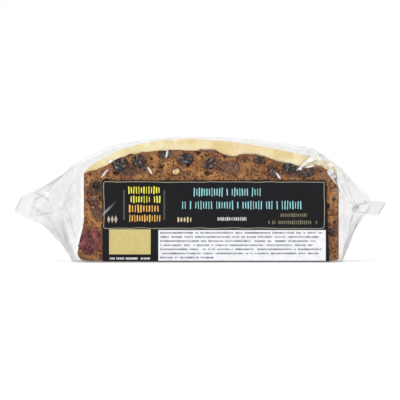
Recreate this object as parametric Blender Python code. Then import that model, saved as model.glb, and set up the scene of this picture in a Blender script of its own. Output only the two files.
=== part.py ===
"""A slab of marzipan-topped fruit cake, sealed in clear film with a printed label on its front.

The slab stands on its narrow base, cut face forwards. Units are metres, +Z is up and +X runs along
the slab. The origin is on the surface it stands on, under the middle of the whole pack.
"""

import math

import bmesh
import bpy
from mathutils import Vector

MM = 0.001

# Driving sizes of the pack
PACK_LENGTH = 222.6 * MM
PACK_DEPTH = 40.0 * MM
FILM_WALL = 0.6 * MM
PIECE_GAP = 0.3 * MM
LAYER_GAP = 1.1 * PIECE_GAP
POCKET_GAP = 2.2 * PIECE_GAP
FOLD_RADIUS = 0.6 * MM

# The slab inside it, seen from the front
CAKE_LEFT = -70.0 * MM
CAKE_RIGHT = 83.6 * MM
CAKE_BOTTOM = FILM_WALL + PIECE_GAP
FRONT_FACE = -PACK_DEPTH / 2 + PIECE_GAP
BACK_FACE = PACK_DEPTH / 2 - FILM_WALL - PIECE_GAP

# The left foot of the slab has spread outwards under its own weight
FOOT_SPREAD = 4.2 * MM
FOOT_HEIGHT = 26.0 * MM
BOTTOM_CORNER_LEFT = 4.5 * MM
BOTTOM_CORNER_RIGHT = 2.0 * MM

# The baked dome, as the marzipan's upper surface follows it
CROWN_X = -3.0 * MM
CROWN_HEIGHT = 74.3 * MM
DOME_LEFT = {"reach": 66.4 * MM, "fall": 18.7 * MM, "power": 2.69}
DOME_RIGHT = {"reach": 72.0 * MM, "fall": 11.2 * MM, "power": 1.65}
SHOULDER_X = 70.0 * MM
SHOULDER_DROP = 11.5 * MM
CRUST_CORNER = 4.0 * MM
ROOM_CORNER = 2.0 * MM
MARZIPAN_LEFT = CAKE_LEFT + 0.5 * MM
MARZIPAN_RIGHT = CAKE_RIGHT - 0.6 * MM

# Marzipan thickness along the slab, thin at the ends and sagging into the crumb between them
MARZIPAN_THICKNESS = (
    (-70.0 * MM, 1.3 * MM),
    (-58.0 * MM, 5.0 * MM),
    (-46.0 * MM, 4.3 * MM),
    (-28.0 * MM, 5.2 * MM),
    (-4.0 * MM, 6.8 * MM),
    (9.0 * MM, 6.0 * MM),
    (18.0 * MM, 9.0 * MM),
    (27.0 * MM, 6.2 * MM),
    (36.0 * MM, 5.9 * MM),
    (49.0 * MM, 7.4 * MM),
    (62.0 * MM, 6.6 * MM),
    (74.0 * MM, 5.0 * MM),
    (84.0 * MM, 3.4 * MM),
)

# The film's upper line: a dome, drawn straight past a fold at each shoulder
FILM_CROWN_HEIGHT = 75.3 * MM
FILM_FOLD_LEFT = {"x": -57.0 * MM, "fall": 6.6 * MM}
FILM_FOLD_RIGHT = {"x": 68.3 * MM, "fall": 7.2 * MM}
FILM_DOME_POWER = 2.15
FILM_STATIONS = 12
FILM_SHOULDER_LEFT = -66.5 * MM
FILM_SHOULDER_RIGHT = 77.0 * MM

# The two gathered ends of the film. near is the front edge of the seal, far the back one
END_LEFT = {
    "start_x": -76.0 * MM,
    "start_roof": 59.4 * MM,
    "apex_x": -85.0 * MM,
    "apex_z": 31.4 * MM,
    "seal_x": -103.5 * MM,
    "seal_near_z": 26.8 * MM,
    "seal_far_z": 42.4 * MM,
    "tip_x": -PACK_LENGTH / 2,
    "tip_near_z": 30.9 * MM,
    "tip_far_z": 39.4 * MM,
    "floor_power": 1.6,
}
END_RIGHT = {
    "start_x": 85.5 * MM,
    "start_roof": 55.6 * MM,
    "apex_x": 96.3 * MM,
    "apex_z": 33.0 * MM,
    "seal_x": 102.5 * MM,
    "seal_near_z": 36.6 * MM,
    "seal_far_z": 29.0 * MM,
    "tip_x": PACK_LENGTH / 2,
    "tip_near_z": 35.7 * MM,
    "tip_far_z": 28.2 * MM,
    "floor_power": 1.3,
}
SEAL_THICKNESS = 1.2 * MM
SEAL_HALF_WIDTH = 23.0 * MM
SEAL_GROOVE = 0.4 * MM
TUCK_FROM_MIDDLE = 2.0 * MM
GUSSET_CREASE = 1.0 * MM
END_STEPS = 5

# The label, a little out of square at its right edge
LABEL_THICKNESS = 0.3 * MM
LABEL_LEFT = -58.5 * MM
LABEL_RIGHT_TOP = 75.7 * MM
LABEL_RIGHT_BOTTOM = 77.6 * MM
LABEL_TOP = 49.3 * MM
LABEL_BOTTOM = 0.7 * MM

# Fruit and nut pieces that the cut has laid open: name, x, z, width, height and turn on the cut face
FRUIT_PIECES = (
    ("raisin_01", -48.1 * MM, 58.7 * MM, 11.0 * MM, 8.6 * MM, 20.0),
    ("raisin_02", -36.7 * MM, 60.6 * MM, 9.6 * MM, 8.2 * MM, -15.0),
    ("raisin_03", -21.1 * MM, 65.0 * MM, 9.0 * MM, 5.8 * MM, 5.0),
    ("raisin_04", -8.5 * MM, 61.8 * MM, 11.0 * MM, 7.0 * MM, 18.0),
    ("raisin_05", 5.9 * MM, 59.4 * MM, 9.6 * MM, 5.8 * MM, 42.0),
    ("date_piece", 18.5 * MM, 57.2 * MM, 11.4 * MM, 7.6 * MM, -4.0),
    ("raisin_06", 35.9 * MM, 61.6 * MM, 7.4 * MM, 4.4 * MM, -8.0),
    ("raisin_07", 43.8 * MM, 54.6 * MM, 6.6 * MM, 8.0 * MM, 12.0),
    ("raisin_08", 53.6 * MM, 56.8 * MM, 9.2 * MM, 6.2 * MM, -24.0),
    ("raisin_09", 65.0 * MM, 54.2 * MM, 9.6 * MM, 5.6 * MM, 14.0),
    ("raisin_10", -61.6 * MM, 46.4 * MM, 5.8 * MM, 5.4 * MM, 30.0),
    ("raisin_11", -64.0 * MM, 37.6 * MM, 7.6 * MM, 7.0 * MM, 60.0),
    ("raisin_12", 79.8 * MM, 18.3 * MM, 5.6 * MM, 4.8 * MM, 0.0),
    ("almond_piece", -14.5 * MM, 54.6 * MM, 5.2 * MM, 4.0 * MM, 10.0),
    ("cherry", -66.0 * MM, 12.4 * MM, 12.6 * MM, 16.4 * MM, -6.0),
)
FRUIT_DEPTH_SHARE = 0.42
FRUIT_STANDS_PROUD = 0.45 * MM
FRUIT_WRINKLES = 5
FRUIT_WRINKLE_TWIST = 2.0
FRUIT_WRINKLE_DEPTH = {"raisin": 0.07, "date_piece": 0.05, "almond_piece": 0.0, "cherry": 0.04}


def clear_scene():
    for obj in list(bpy.data.objects):
        bpy.data.objects.remove(obj, do_unlink=True)


def material(name, colour, roughness, alpha=1.0):
    """A Principled material. Nothing here is metal."""
    made = bpy.data.materials.new(name)
    made.use_nodes = True
    shader = made.node_tree.nodes["Principled BSDF"]
    shader.inputs["Base Color"].default_value = (*colour, 1.0)
    shader.inputs["Roughness"].default_value = roughness
    shader.inputs["Metallic"].default_value = 0.0
    shader.inputs["Alpha"].default_value = alpha
    return made


def add_object(name, bm, finish, smooth_angle=None):
    """Turns a bmesh into a named object with outward faces. smooth_angle, in degrees, shades it smooth."""
    bmesh.ops.recalc_face_normals(bm, faces=bm.faces)
    mesh = bpy.data.meshes.new(name)
    bm.to_mesh(mesh)
    bm.free()
    if smooth_angle is not None:
        mesh.shade_smooth()
        mesh.set_sharp_from_angle(angle=math.radians(smooth_angle))
    mesh.materials.append(finish)
    obj = bpy.data.objects.new(name, mesh)
    bpy.context.scene.collection.objects.link(obj)
    return obj


def mix(a, b, share):
    return a + (b - a) * share


def spread(first, last, count):
    """count values from first to last, both included."""
    return [mix(first, last, i / (count - 1)) for i in range(count)]


def between(table, x):
    """Reads a table of (x, value) pairs with a smooth ease between neighbours."""
    if x <= table[0][0]:
        return table[0][1]
    for (x0, v0), (x1, v1) in zip(table, table[1:]):
        if x <= x1:
            share = (x - x0) / (x1 - x0)
            return mix(v0, v1, share * share * (3 - 2 * share))
    return table[-1][1]


def marzipan_top(x):
    """Height of the marzipan's upper surface: the dome, then a quarter ellipse down the right shoulder."""
    side = DOME_LEFT if x < CROWN_X else DOME_RIGHT
    along = min(x, SHOULDER_X)
    height = CROWN_HEIGHT - side["fall"] * (abs(along - CROWN_X) / side["reach"]) ** side["power"]
    if x > SHOULDER_X:
        share = min(1.0, (x - SHOULDER_X) / (MARZIPAN_RIGHT - SHOULDER_X))
        height -= SHOULDER_DROP * (1 - math.sqrt(1 - share * share))
    return height


def marzipan_underside(x):
    return marzipan_top(x) - between(MARZIPAN_THICKNESS, x)


def cake_left_side(z):
    """The left side of the slab, which leans outwards towards its foot."""
    share = max(0.0, 1 - z / FOOT_HEIGHT)
    return CAKE_LEFT - FOOT_SPREAD * math.sin(math.pi / 2 * share) ** 1.5


def slab_stations(first, last):
    """x values along the slab, closer together round the right shoulder."""
    inner = spread(first, SHOULDER_X, 26)
    angles = spread(0.0, math.pi / 2, 7)[1:]
    return inner + [SHOULDER_X + (last - SHOULDER_X) * math.sin(a) for a in angles]


def corner(centre_x, centre_z, radius, from_angle, to_angle, steps=5):
    return [
        (centre_x + radius * math.cos(math.radians(a)), centre_z + radius * math.sin(math.radians(a)))
        for a in spread(from_angle, to_angle, steps)
    ]


def cake_sides():
    """Outline of the cake below its top, from the top of the right side round to the top of the left."""
    left_top = marzipan_underside(MARZIPAN_LEFT) - PIECE_GAP
    left_foot = cake_left_side(CAKE_BOTTOM + BOTTOM_CORNER_LEFT)
    points = corner(
        CAKE_RIGHT - BOTTOM_CORNER_RIGHT, CAKE_BOTTOM + BOTTOM_CORNER_RIGHT, BOTTOM_CORNER_RIGHT, 0, -90, 4
    )
    points += corner(
        left_foot + BOTTOM_CORNER_LEFT, CAKE_BOTTOM + BOTTOM_CORNER_LEFT, BOTTOM_CORNER_LEFT, -90, -180
    )
    heights = spread(CAKE_BOTTOM + BOTTOM_CORNER_LEFT, FOOT_HEIGHT, 6)[1:] + [left_top]
    return points + [(cake_left_side(z), z) for z in heights]


def shifted(line, distance, closed=False):
    """A line of points moved sideways by distance, to the left of the way it runs."""
    moved = []
    for i, (x, z) in enumerate(line):
        before = Vector(line[i - 1] if closed or i > 0 else line[i])
        after = Vector(line[(i + 1) % len(line)] if closed or i + 1 < len(line) else line[i])
        along = (after - before).normalized()
        moved.append((x - along.y * distance, z + along.x * distance))
    return moved


def cake_outline():
    """The cut face of the cake alone, up to the gap below the marzipan."""
    line = [(x, marzipan_underside(x)) for x in slab_stations(MARZIPAN_LEFT, MARZIPAN_RIGHT)]
    top = shifted(line, -LAYER_GAP)
    return cake_sides() + top + [(CAKE_RIGHT, top[-1][1] - CRUST_CORNER)]


def marzipan_outline():
    stations = slab_stations(MARZIPAN_LEFT, MARZIPAN_RIGHT)
    upper = [(x, marzipan_top(x)) for x in stations]
    lower = [(x, marzipan_underside(x)) for x in stations]
    return upper + lower[::-1]


def contents_outline():
    """Cake and marzipan as one outline, for the room that the film leaves them."""
    upper = [(x, marzipan_top(x)) for x in slab_stations(MARZIPAN_LEFT, MARZIPAN_RIGHT)]
    return cake_sides() + upper + [(CAKE_RIGHT, upper[-1][1] - ROOM_CORNER)]


def prism(outline, front, back):
    """A bmesh of the outline, which lies in the XZ plane, carried from front to back along Y."""
    bm = bmesh.new()
    face = bm.faces.new([bm.verts.new((x, front, z)) for x, z in outline])
    swept = bmesh.ops.extrude_face_region(bm, geom=[face])["geom"]
    moved = [v for v in swept if isinstance(v, bmesh.types.BMVert)]
    bmesh.ops.translate(bm, verts=moved, vec=(0, back - front, 0))
    bmesh.ops.triangulate(bm, faces=bm.faces)
    return bm


def loft(rings):
    """A bmesh through rings of equally many points, closed at both ends."""
    bm = bmesh.new()
    loops = [[bm.verts.new(point) for point in ring] for ring in rings]
    count = len(loops[0])
    for near, far in zip(loops, loops[1:]):
        for i in range(count):
            j = (i + 1) % count
            bm.faces.new((near[i], near[j], far[j], far[i]))
    bm.faces.new(loops[0][::-1])
    bm.faces.new(loops[-1])
    bmesh.ops.triangulate(bm, faces=bm.faces)
    return bm


def film_roof(x):
    """Height of the film above the slab."""
    for fold, end, side in ((FILM_FOLD_LEFT, END_LEFT, -1), (FILM_FOLD_RIGHT, END_RIGHT, 1)):
        if (x - fold["x"]) * side > 0:
            share = (x - fold["x"]) / (end["start_x"] - fold["x"])
            return mix(FILM_CROWN_HEIGHT - fold["fall"], end["start_roof"], share)
    fold = FILM_FOLD_LEFT if x < CROWN_X else FILM_FOLD_RIGHT
    share = (x - CROWN_X) / (fold["x"] - CROWN_X)
    return FILM_CROWN_HEIGHT - fold["fall"] * share**FILM_DOME_POWER


def ring(x, roof, floor, half_depth, tuck, crease, radius):
    """One section of the film across X. roof, floor and crease are (near, far) heights; crease holds the
    upper and lower line of each gusset, and tuck is how far each gusset's crease lies from the middle."""
    points = []
    for side, at in ((-1, 0), (1, 1)):
        outer, inner = side * half_depth, side * (half_depth - radius)
        half = [
            (inner, roof[at]),
            (outer, roof[at] - radius),
            (side * tuck, crease[at][0]),
            (side * tuck, crease[at][1]),
            (outer, floor[at] + radius),
            (inner, floor[at]),
        ]
        points += half if at == 0 else half[::-1]
    return [(x, y, z) for y, z in points]


def middle_rings():
    """Sections of the film along the slab, left to right."""
    stations = [END_LEFT["start_x"], FILM_SHOULDER_LEFT]
    stations += spread(FILM_FOLD_LEFT["x"], FILM_FOLD_RIGHT["x"], FILM_STATIONS)
    stations += [FILM_SHOULDER_RIGHT, END_RIGHT["start_x"]]
    half = PACK_DEPTH / 2
    rings = []
    for x in stations:
        roof = film_roof(x)
        crease = (roof - 2 * FOLD_RADIUS, 2 * FOLD_RADIUS)
        rings.append(ring(x, (roof, roof), (0.0, 0.0), half, half, (crease, crease), FOLD_RADIUS))
    return rings


def end_rings(end):
    """Sections of a gathered end, from the slab outwards: tucked-in gussets, then the flat crimped seal."""
    half = PACK_DEPTH / 2
    apex = (end["apex_x"] - end["start_x"]) / (end["seal_x"] - end["start_x"])
    seal = (end["seal_near_z"], end["seal_far_z"])
    shares = spread(0.0, apex, END_STEPS)[1:] + spread(apex, 1.0, END_STEPS)[1:]
    rings = []
    for share in shares:
        closing = 1 - (1 - share) ** end["floor_power"]
        lift = SEAL_THICKNESS / 2 * share
        roof = [mix(end["start_roof"], z, share) + lift for z in seal]
        floor = [z * closing - lift for z in seal]
        depth = mix(half, SEAL_HALF_WIDTH, share)
        radius = mix(FOLD_RADIUS, SEAL_THICKNESS / 4, share)
        if share <= apex:
            inward = share / apex
            tuck = mix(half, TUCK_FROM_MIDDLE, inward)
            crease = [
                (
                    mix(roof[at] - 2 * radius, end["apex_z"] + GUSSET_CREASE / 2, inward),
                    mix(floor[at] + 2 * radius, end["apex_z"] - GUSSET_CREASE / 2, inward),
                )
                for at in (0, 1)
            ]
        else:
            outward = (share - apex) / (1 - apex)
            tuck = mix(TUCK_FROM_MIDDLE, SEAL_HALF_WIDTH - SEAL_GROOVE, outward)
            crease = [
                tuple(
                    mix(end["apex_z"], seal[at], outward)
                    + sign * mix(GUSSET_CREASE / 2, SEAL_THICKNESS / 8, outward)
                    for sign in (1, -1)
                )
                for at in (0, 1)
            ]
        x = mix(end["start_x"], end["seal_x"], share)
        rings.append(ring(x, roof, floor, depth, tuck, crease, radius))
    for share in (0.5, 1.0):
        flat = (
            mix(seal[0], end["tip_near_z"], share),
            mix(seal[1], end["tip_far_z"], share),
        )
        half_seal = SEAL_THICKNESS / 2
        crease = [(z + SEAL_THICKNESS / 8, z - SEAL_THICKNESS / 8) for z in flat]
        rings.append(
            ring(
                mix(end["seal_x"], end["tip_x"], share),
                [z + half_seal for z in flat],
                [z - half_seal for z in flat],
                SEAL_HALF_WIDTH,
                SEAL_HALF_WIDTH - SEAL_GROOVE,
                crease,
                SEAL_THICKNESS / 4,
            )
        )
    return rings


def make_fruit(name, x, z, width, height, turn, finish, grow=0.0, subdivisions=3):
    """One fruit piece, cut through by the knife: half of a wrinkled ellipsoid in the crumb, and a low dome
    that has swelled out of the cut face. grow adds to every half size."""
    sunk = width * FRUIT_DEPTH_SHARE + grow
    proud = FRUIT_STANDS_PROUD + grow
    kind = name if name in FRUIT_WRINKLE_DEPTH else name.split("_")[0]
    wrinkle = 0.0 if grow else FRUIT_WRINKLE_DEPTH[kind]
    phase = x / MM
    bm = bmesh.new()
    bmesh.ops.create_icosphere(bm, subdivisions=subdivisions, radius=1.0)
    angle = math.radians(turn)
    for vert in bm.verts:
        way = vert.co.copy()
        around = math.atan2(way.z, way.y)
        dent = 0.5 + 0.5 * math.sin(FRUIT_WRINKLES * around + phase + FRUIT_WRINKLE_TWIST * way.x)
        way *= 1 - wrinkle * dent
        across = way.x * (width / 2 + grow)
        up = way.z * (height / 2 + grow)
        vert.co = (
            x + across * math.cos(angle) - up * math.sin(angle),
            FRONT_FACE + way.y * (sunk if way.y > 0 else proud),
            z + across * math.sin(angle) + up * math.cos(angle),
        )
    return add_object(name, bm, finish, smooth_angle=60)


def as_cutter(obj):
    obj.hide_render = True
    obj.display_type = "WIRE"
    return obj


def subtract(obj, cutter):
    modifier = obj.modifiers.new("cut_" + cutter.name, "BOOLEAN")
    modifier.operation = "DIFFERENCE"
    modifier.solver = "EXACT"
    modifier.object = cutter


def make_fruit_pieces(receivers):
    """The fruit and nut pieces, each in a pocket that is a little larger than itself."""
    finishes = {
        "raisin": material("raisin_skin", (0.018, 0.011, 0.014), 0.35),
        "date_piece": material("date_flesh", (0.11, 0.045, 0.03), 0.5),
        "almond_piece": material("almond_flesh", (0.62, 0.38, 0.17), 0.6),
        "cherry": material("glace_cherry", (0.12, 0.012, 0.012), 0.25),
    }
    for name, x, z, width, height, turn in FRUIT_PIECES:
        kind = name if name in finishes else name.split("_")[0]
        make_fruit(name, x, z, width, height, turn, finishes[kind])
        pocket = make_fruit(
            name + "_pocket", x, z, width, height, turn, finishes[kind], grow=POCKET_GAP, subdivisions=2
        )
        for receiver in receivers:
            subtract(receiver, as_cutter(pocket))


def make_film(room):
    """The clear wrapper: solid gathered ends joined by a thin skin under, behind and over the slab. The
    skin over the cut face is left out, so that the slab sits in an open pocket."""
    left = end_rings(END_LEFT)[::-1]
    rings = left + middle_rings() + end_rings(END_RIGHT)
    film = add_object("film", loft(rings), material("clear_film", (0.86, 0.87, 0.88), 0.12, alpha=0.3))
    subtract(film, room)
    return film


def make_label():
    outline = [
        (LABEL_LEFT, LABEL_BOTTOM),
        (LABEL_LEFT, LABEL_TOP),
        (LABEL_RIGHT_TOP, LABEL_TOP),
        (LABEL_RIGHT_BOTTOM, LABEL_BOTTOM),
    ]
    back = -PACK_DEPTH / 2 - PIECE_GAP
    bm = prism(outline, back - LABEL_THICKNESS, back)
    return add_object("label", bm, material("printed_label", (0.014, 0.015, 0.018), 0.35))


def main():
    clear_scene()
    crumb = material("dark_crumb", (0.24, 0.09, 0.028), 0.75)
    paste = material("marzipan_paste", (0.83, 0.66, 0.33), 0.55)
    cake = add_object("cake", prism(cake_outline(), FRONT_FACE, BACK_FACE), crumb)
    marzipan = add_object("marzipan", prism(marzipan_outline(), FRONT_FACE, BACK_FACE), paste)
    make_fruit_pieces((cake, marzipan))
    room = prism(shifted(contents_outline(), PIECE_GAP, closed=True), -PACK_DEPTH, BACK_FACE + PIECE_GAP)
    make_film(as_cutter(add_object("slab_room", room, crumb)))
    make_label()


main()
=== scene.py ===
# A slab of marzipan-topped fruit cake sealed in clear film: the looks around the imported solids

import math

import bmesh
import bpy
import numpy as np
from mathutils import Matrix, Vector
from mathutils.bvhtree import BVHTree


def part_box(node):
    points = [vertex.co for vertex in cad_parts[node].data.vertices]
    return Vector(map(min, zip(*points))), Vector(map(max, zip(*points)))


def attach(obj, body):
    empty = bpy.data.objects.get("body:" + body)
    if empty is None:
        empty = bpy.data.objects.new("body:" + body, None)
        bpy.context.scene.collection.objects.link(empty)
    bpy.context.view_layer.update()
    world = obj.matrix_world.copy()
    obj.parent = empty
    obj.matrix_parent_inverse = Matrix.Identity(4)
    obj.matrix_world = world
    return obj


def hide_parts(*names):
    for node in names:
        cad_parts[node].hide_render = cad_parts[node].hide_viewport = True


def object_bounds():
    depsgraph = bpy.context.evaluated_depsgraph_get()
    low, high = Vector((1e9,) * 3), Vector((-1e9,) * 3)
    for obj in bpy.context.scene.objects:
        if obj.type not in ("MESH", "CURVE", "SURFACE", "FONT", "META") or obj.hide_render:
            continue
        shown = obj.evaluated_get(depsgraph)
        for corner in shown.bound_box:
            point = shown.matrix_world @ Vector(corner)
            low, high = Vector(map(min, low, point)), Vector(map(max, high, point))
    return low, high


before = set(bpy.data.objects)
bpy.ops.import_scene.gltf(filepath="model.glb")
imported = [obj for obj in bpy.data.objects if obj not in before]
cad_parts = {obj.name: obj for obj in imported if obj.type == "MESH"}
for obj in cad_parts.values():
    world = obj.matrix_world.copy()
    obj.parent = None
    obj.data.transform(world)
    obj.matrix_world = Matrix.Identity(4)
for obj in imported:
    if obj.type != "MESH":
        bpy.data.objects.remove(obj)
solidsBox = [list(corner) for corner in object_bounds()]
mm = 0.001
fruitKinds = ("raisin", "date", "almond", "cherry")
fruitNodes = [name for name in sorted(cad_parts) if name.split("_")[0] in fruitKinds]
print("frame loaded:", len(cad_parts), "solids")


# Node trees

class Wire:
    # an output socket; sums and products written with it become Math nodes in its tree
    def __init__(self, socket):
        self.socket = socket
        self.board = Board(socket.id_data)

    def also(self, name):
        # another output of the same node
        return Wire(self.socket.node.outputs[name])

    def __add__(self, other):
        return self.board.maths("ADD", self, other)

    def __sub__(self, other):
        return self.board.maths("SUBTRACT", self, other)

    def __rsub__(self, other):
        return self.board.maths("SUBTRACT", other, self)

    def __mul__(self, other):
        return self.board.maths("MULTIPLY", self, other)

    def __truediv__(self, other):
        return self.board.maths("DIVIDE", self, other)

    def __rtruediv__(self, other):
        return self.board.maths("DIVIDE", other, self)

    def __pow__(self, other):
        return self.board.maths("POWER", self, other)

    def __abs__(self):
        return self.board.maths("ABSOLUTE", self)

    def __gt__(self, other):
        return self.board.maths("GREATER_THAN", self, other)

    def __lt__(self, other):
        return self.board.maths("LESS_THAN", self, other)

    __radd__ = __add__
    __rmul__ = __mul__


class Board:
    # a node tree while it is being wired
    def __init__(self, tree):
        self.tree = tree

    def add(self, kind, settings=None, sockets=None, out=0):
        made = self.tree.nodes.new(kind)
        for name, value in (settings or {}).items():
            setattr(made, name, value)
        for name, value in (sockets or {}).items():
            self.feed(made.inputs[name], value)
        return Wire(made.outputs[out])

    def feed(self, socket, value):
        if isinstance(value, Wire):
            self.tree.links.new(value.socket, socket)
        else:
            socket.default_value = value

    def wear(self, **looks):
        # sets or wires the shader's sockets, baseColor for Base Color, and gives the material
        for words, value in looks.items():
            self.feed(self.shader.inputs[socketName(words)], value)
        return self.finish

    def maths(self, operation, *values):
        return self.add("ShaderNodeMath", {"operation": operation}, dict(enumerate(values)))

    def kept(self, value):
        # between 0 and 1
        return self.add("ShaderNodeMath", {"operation": "ADD", "use_clamp": True}, {0: value, 1: 0.0})

    def step(self, value, low, high):
        # 0 below low, 1 above high, smooth between
        settings = {"interpolation_type": "SMOOTHSTEP"}
        return self.add("ShaderNodeMapRange", settings, {"Value": value, "From Min": low, "From Max": high})

    def noise(self, place, size, detail=3.0, rough=0.55, warp=0.0):
        sockets = {"Vector": place, "Scale": 1 / size, "Detail": detail}
        return self.add("ShaderNodeTexNoise", {}, {**sockets, "Roughness": rough, "Distortion": warp})

    def cells(self, place, size):
        return self.add("ShaderNodeTexVoronoi", {}, {"Vector": place, "Scale": 1 / size})

    def valleys(self, noise):
        # 1 where the noise crosses its middle
        return 1 - self.kept(abs(noise - 0.5) * 6.0)

    def jolted(self, place, colour, reach):
        # the place shifted by a noise's colour
        sockets = {0: colour, 1: (reach,) * 3, 2: place}
        return self.add("ShaderNodeVectorMath", {"operation": "MULTIPLY_ADD"}, sockets)

    def axis(self, vector, name):
        return self.add("ShaderNodeSeparateXYZ", {}, {0: vector}, out=name)

    def vector(self, **axes):
        return self.add("ShaderNodeCombineXYZ", {}, axes)

    def surface(self):
        # a point's place and facing, in a geometry tree
        return self.add("GeometryNodeInputPosition"), self.add("GeometryNodeInputNormal")

    def read(self, name):
        # a number stored on the mesh, in a geometry tree
        return self.add("GeometryNodeInputNamedAttribute", {"data_type": "FLOAT"}, {"Name": name})

    def noted(self, geometry, name, value):
        # stores a number on the mesh
        sockets = {"Geometry": geometry, "Name": name, "Value": value}
        return self.add("GeometryNodeStoreNamedAttribute", {"data_type": "FLOAT"}, sockets)

    def pushedIn(self, geometry, facing, inward):
        # moves the surface against its facing
        move = self.add("ShaderNodeVectorMath", {"operation": "SCALE"}, {0: facing, "Scale": 0 - inward})
        return self.add("GeometryNodeSetPosition", {}, {"Geometry": geometry, "Offset": move})

    def chance(self, kind, low, high, seed):
        # a random value for each point
        out = ("FLOAT_VECTOR", "FLOAT", "INT").index(kind)
        sockets = {2 * out: low, 2 * out + 1: high, "Seed": seed}
        return self.add("FunctionNodeRandomValue", {"data_type": kind}, sockets, out)

    def tint(self, mask, low, high):
        # a colour between low and high
        low, high = (value if isinstance(value, Wire) else (*value, 1.0) for value in (low, high))
        return self.add("ShaderNodeMix", {"data_type": "RGBA"}, {0: mask, 6: low, 7: high}, out=2)

    def layered(self, colour, *layers):
        # lays each (mask, colour) over what lies under it
        for mask, over in layers:
            colour = self.tint(mask, colour, over)
        return colour

    def painted(self, name):
        # a number stored on the mesh, in a material
        return self.add("ShaderNodeAttribute", {"attribute_name": name}, {}, out="Fac")

    def bump(self, height, distance, strength=1.0):
        return self.add("ShaderNodeBump", {}, {"Height": height, "Distance": distance, "Strength": strength})


def startFinish(name, **fixed):
    # a material with a Principled shader; fixed holds the values that are the same all over it
    finish = bpy.data.materials.new(name)
    finish.use_nodes = True
    board = Board(finish.node_tree)
    board.finish, board.shader = finish, finish.node_tree.nodes["Principled BSDF"]
    board.wear(**fixed)
    return board, board.add("ShaderNodeTexCoord", out="Object")


def socketName(words):
    # coatWeight -> Coat Weight
    spaced = "".join(" " + letter if letter.isupper() else letter for letter in words)
    return spaced[0].upper() + spaced[1:].replace(" I O R", " IOR")


def startTree(name, **inputs):
    # a geometry tree with named inputs and their starting values
    tree = bpy.data.node_groups.new(name, "GeometryNodeTree")
    for way in ("INPUT", "OUTPUT"):
        tree.interface.new_socket("Geometry", in_out=way, socket_type="NodeSocketGeometry")
    tree.interface.new_socket("finish", in_out="INPUT", socket_type="NodeSocketMaterial")
    kinds = {float: "NodeSocketFloat", int: "NodeSocketInt", tuple: "NodeSocketVector"}
    for title, value in inputs.items():
        socket = tree.interface.new_socket(title, in_out="INPUT", socket_type=kinds[type(value)])
        socket.default_value = value
    entry = tree.nodes.new("NodeGroupInput")
    return Board(tree), {socket.name: Wire(socket) for socket in entry.outputs if socket.name}


def endTree(board, geometry, finish):
    whole = board.add("GeometryNodeRealizeInstances", {}, {"Geometry": geometry})
    dressed = board.add("GeometryNodeSetMaterial", {}, {"Geometry": whole, "Material": finish})
    leave = board.tree.nodes.new("NodeGroupOutput")
    board.feed(leave.inputs["Geometry"], dressed)
    return board.tree


def applyTree(obj, tree, **values):
    # runs a geometry tree on an object and keeps the result as a plain mesh;
    # of the values only those that the tree has an input for are used
    modifier = obj.modifiers.new(tree.name, "NODES")
    modifier.node_group = tree
    for item in tree.interface.items_tree:
        if item.item_type == "SOCKET" and item.in_out == "INPUT" and item.name in values:
            modifier[item.identifier] = values[item.name]
    return keepResult(obj)


def keepResult(obj):
    graph = bpy.context.evaluated_depsgraph_get()
    mesh = bpy.data.meshes.new_from_object(
        obj.evaluated_get(graph), preserve_all_data_layers=True, depsgraph=graph
    )
    obj.modifiers.clear()
    obj.data = mesh
    mesh.name = obj.name
    return obj


# Meshes

def addPiece(name, mesh):
    obj = bpy.data.objects.new(name, mesh)
    bpy.context.scene.collection.objects.link(obj)
    return obj


def fromFaces(name, points, faces):
    mesh = bpy.data.meshes.new(name)
    mesh.from_pydata([tuple(p) for p in points], [], [tuple(f) for f in faces])
    mesh.validate()
    return addPiece(name, mesh)


def collect(items, what, width):
    flat = np.empty(len(items) * width, np.float32)
    items.foreach_get(what, flat)
    return flat.reshape(-1, width).astype(float)


def places(mesh):
    return collect(mesh.vertices, "co", 3)


def movePoints(mesh, points):
    mesh.vertices.foreach_set("co", np.asarray(points, np.float32).ravel())
    mesh.update()


def paint(mesh, **layers):
    # stores numbers on the mesh's points
    for name, values in layers.items():
        layer = mesh.attributes.new(name, "FLOAT", "POINT")
        layer.data.foreach_set("value", np.full(len(mesh.vertices), values, np.float32))


def opened(mesh):
    bm = bmesh.new()
    bm.from_mesh(mesh)
    return bm


def closed(bm, mesh):
    bm.to_mesh(mesh)
    bm.free()
    return mesh


def mergedSolid(name):
    bm = opened(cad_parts[name].data)
    bmesh.ops.remove_doubles(bm, verts=bm.verts, dist=0.001 * mm)
    return bm


def turnOutward(mesh):
    bm = opened(mesh)
    bmesh.ops.recalc_face_normals(bm, faces=bm.faces)
    closed(bm, mesh)


def rayShape(mesh):
    bm = opened(mesh)
    shape = BVHTree.FromBMesh(bm)
    bm.free()
    return shape


def smoothly(value, low, high):
    share = np.clip((np.asarray(value, float) - low) / (high - low), 0, 1)
    return share * share * (3 - 2 * share)


def mixed(a, b, share):
    return a + (b - a) * share


def latticeNoise(points, size, seed):
    # smooth noise from -1 to 1 on points, by blending random values at the corners of cubes of that size
    scaled = points / size + 1000.0
    corner = np.floor(scaled).astype(np.int64)
    share = scaled - corner
    share = share * share * (3 - 2 * share)
    total = np.zeros(len(points))
    for step in np.ndindex(2, 2, 2):
        key = (corner + step) @ np.array([73856093, 19349663, 83492791]) + seed * 9176
        key = (key ^ (key >> 13)) * 1274126177
        value = ((key ^ (key >> 16)) & 0xFFFF) / 32767.5 - 1
        weight = np.prod([share[:, i] if step[i] else 1 - share[:, i] for i in range(3)], axis=0)
        total += value * weight
    return total


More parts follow.
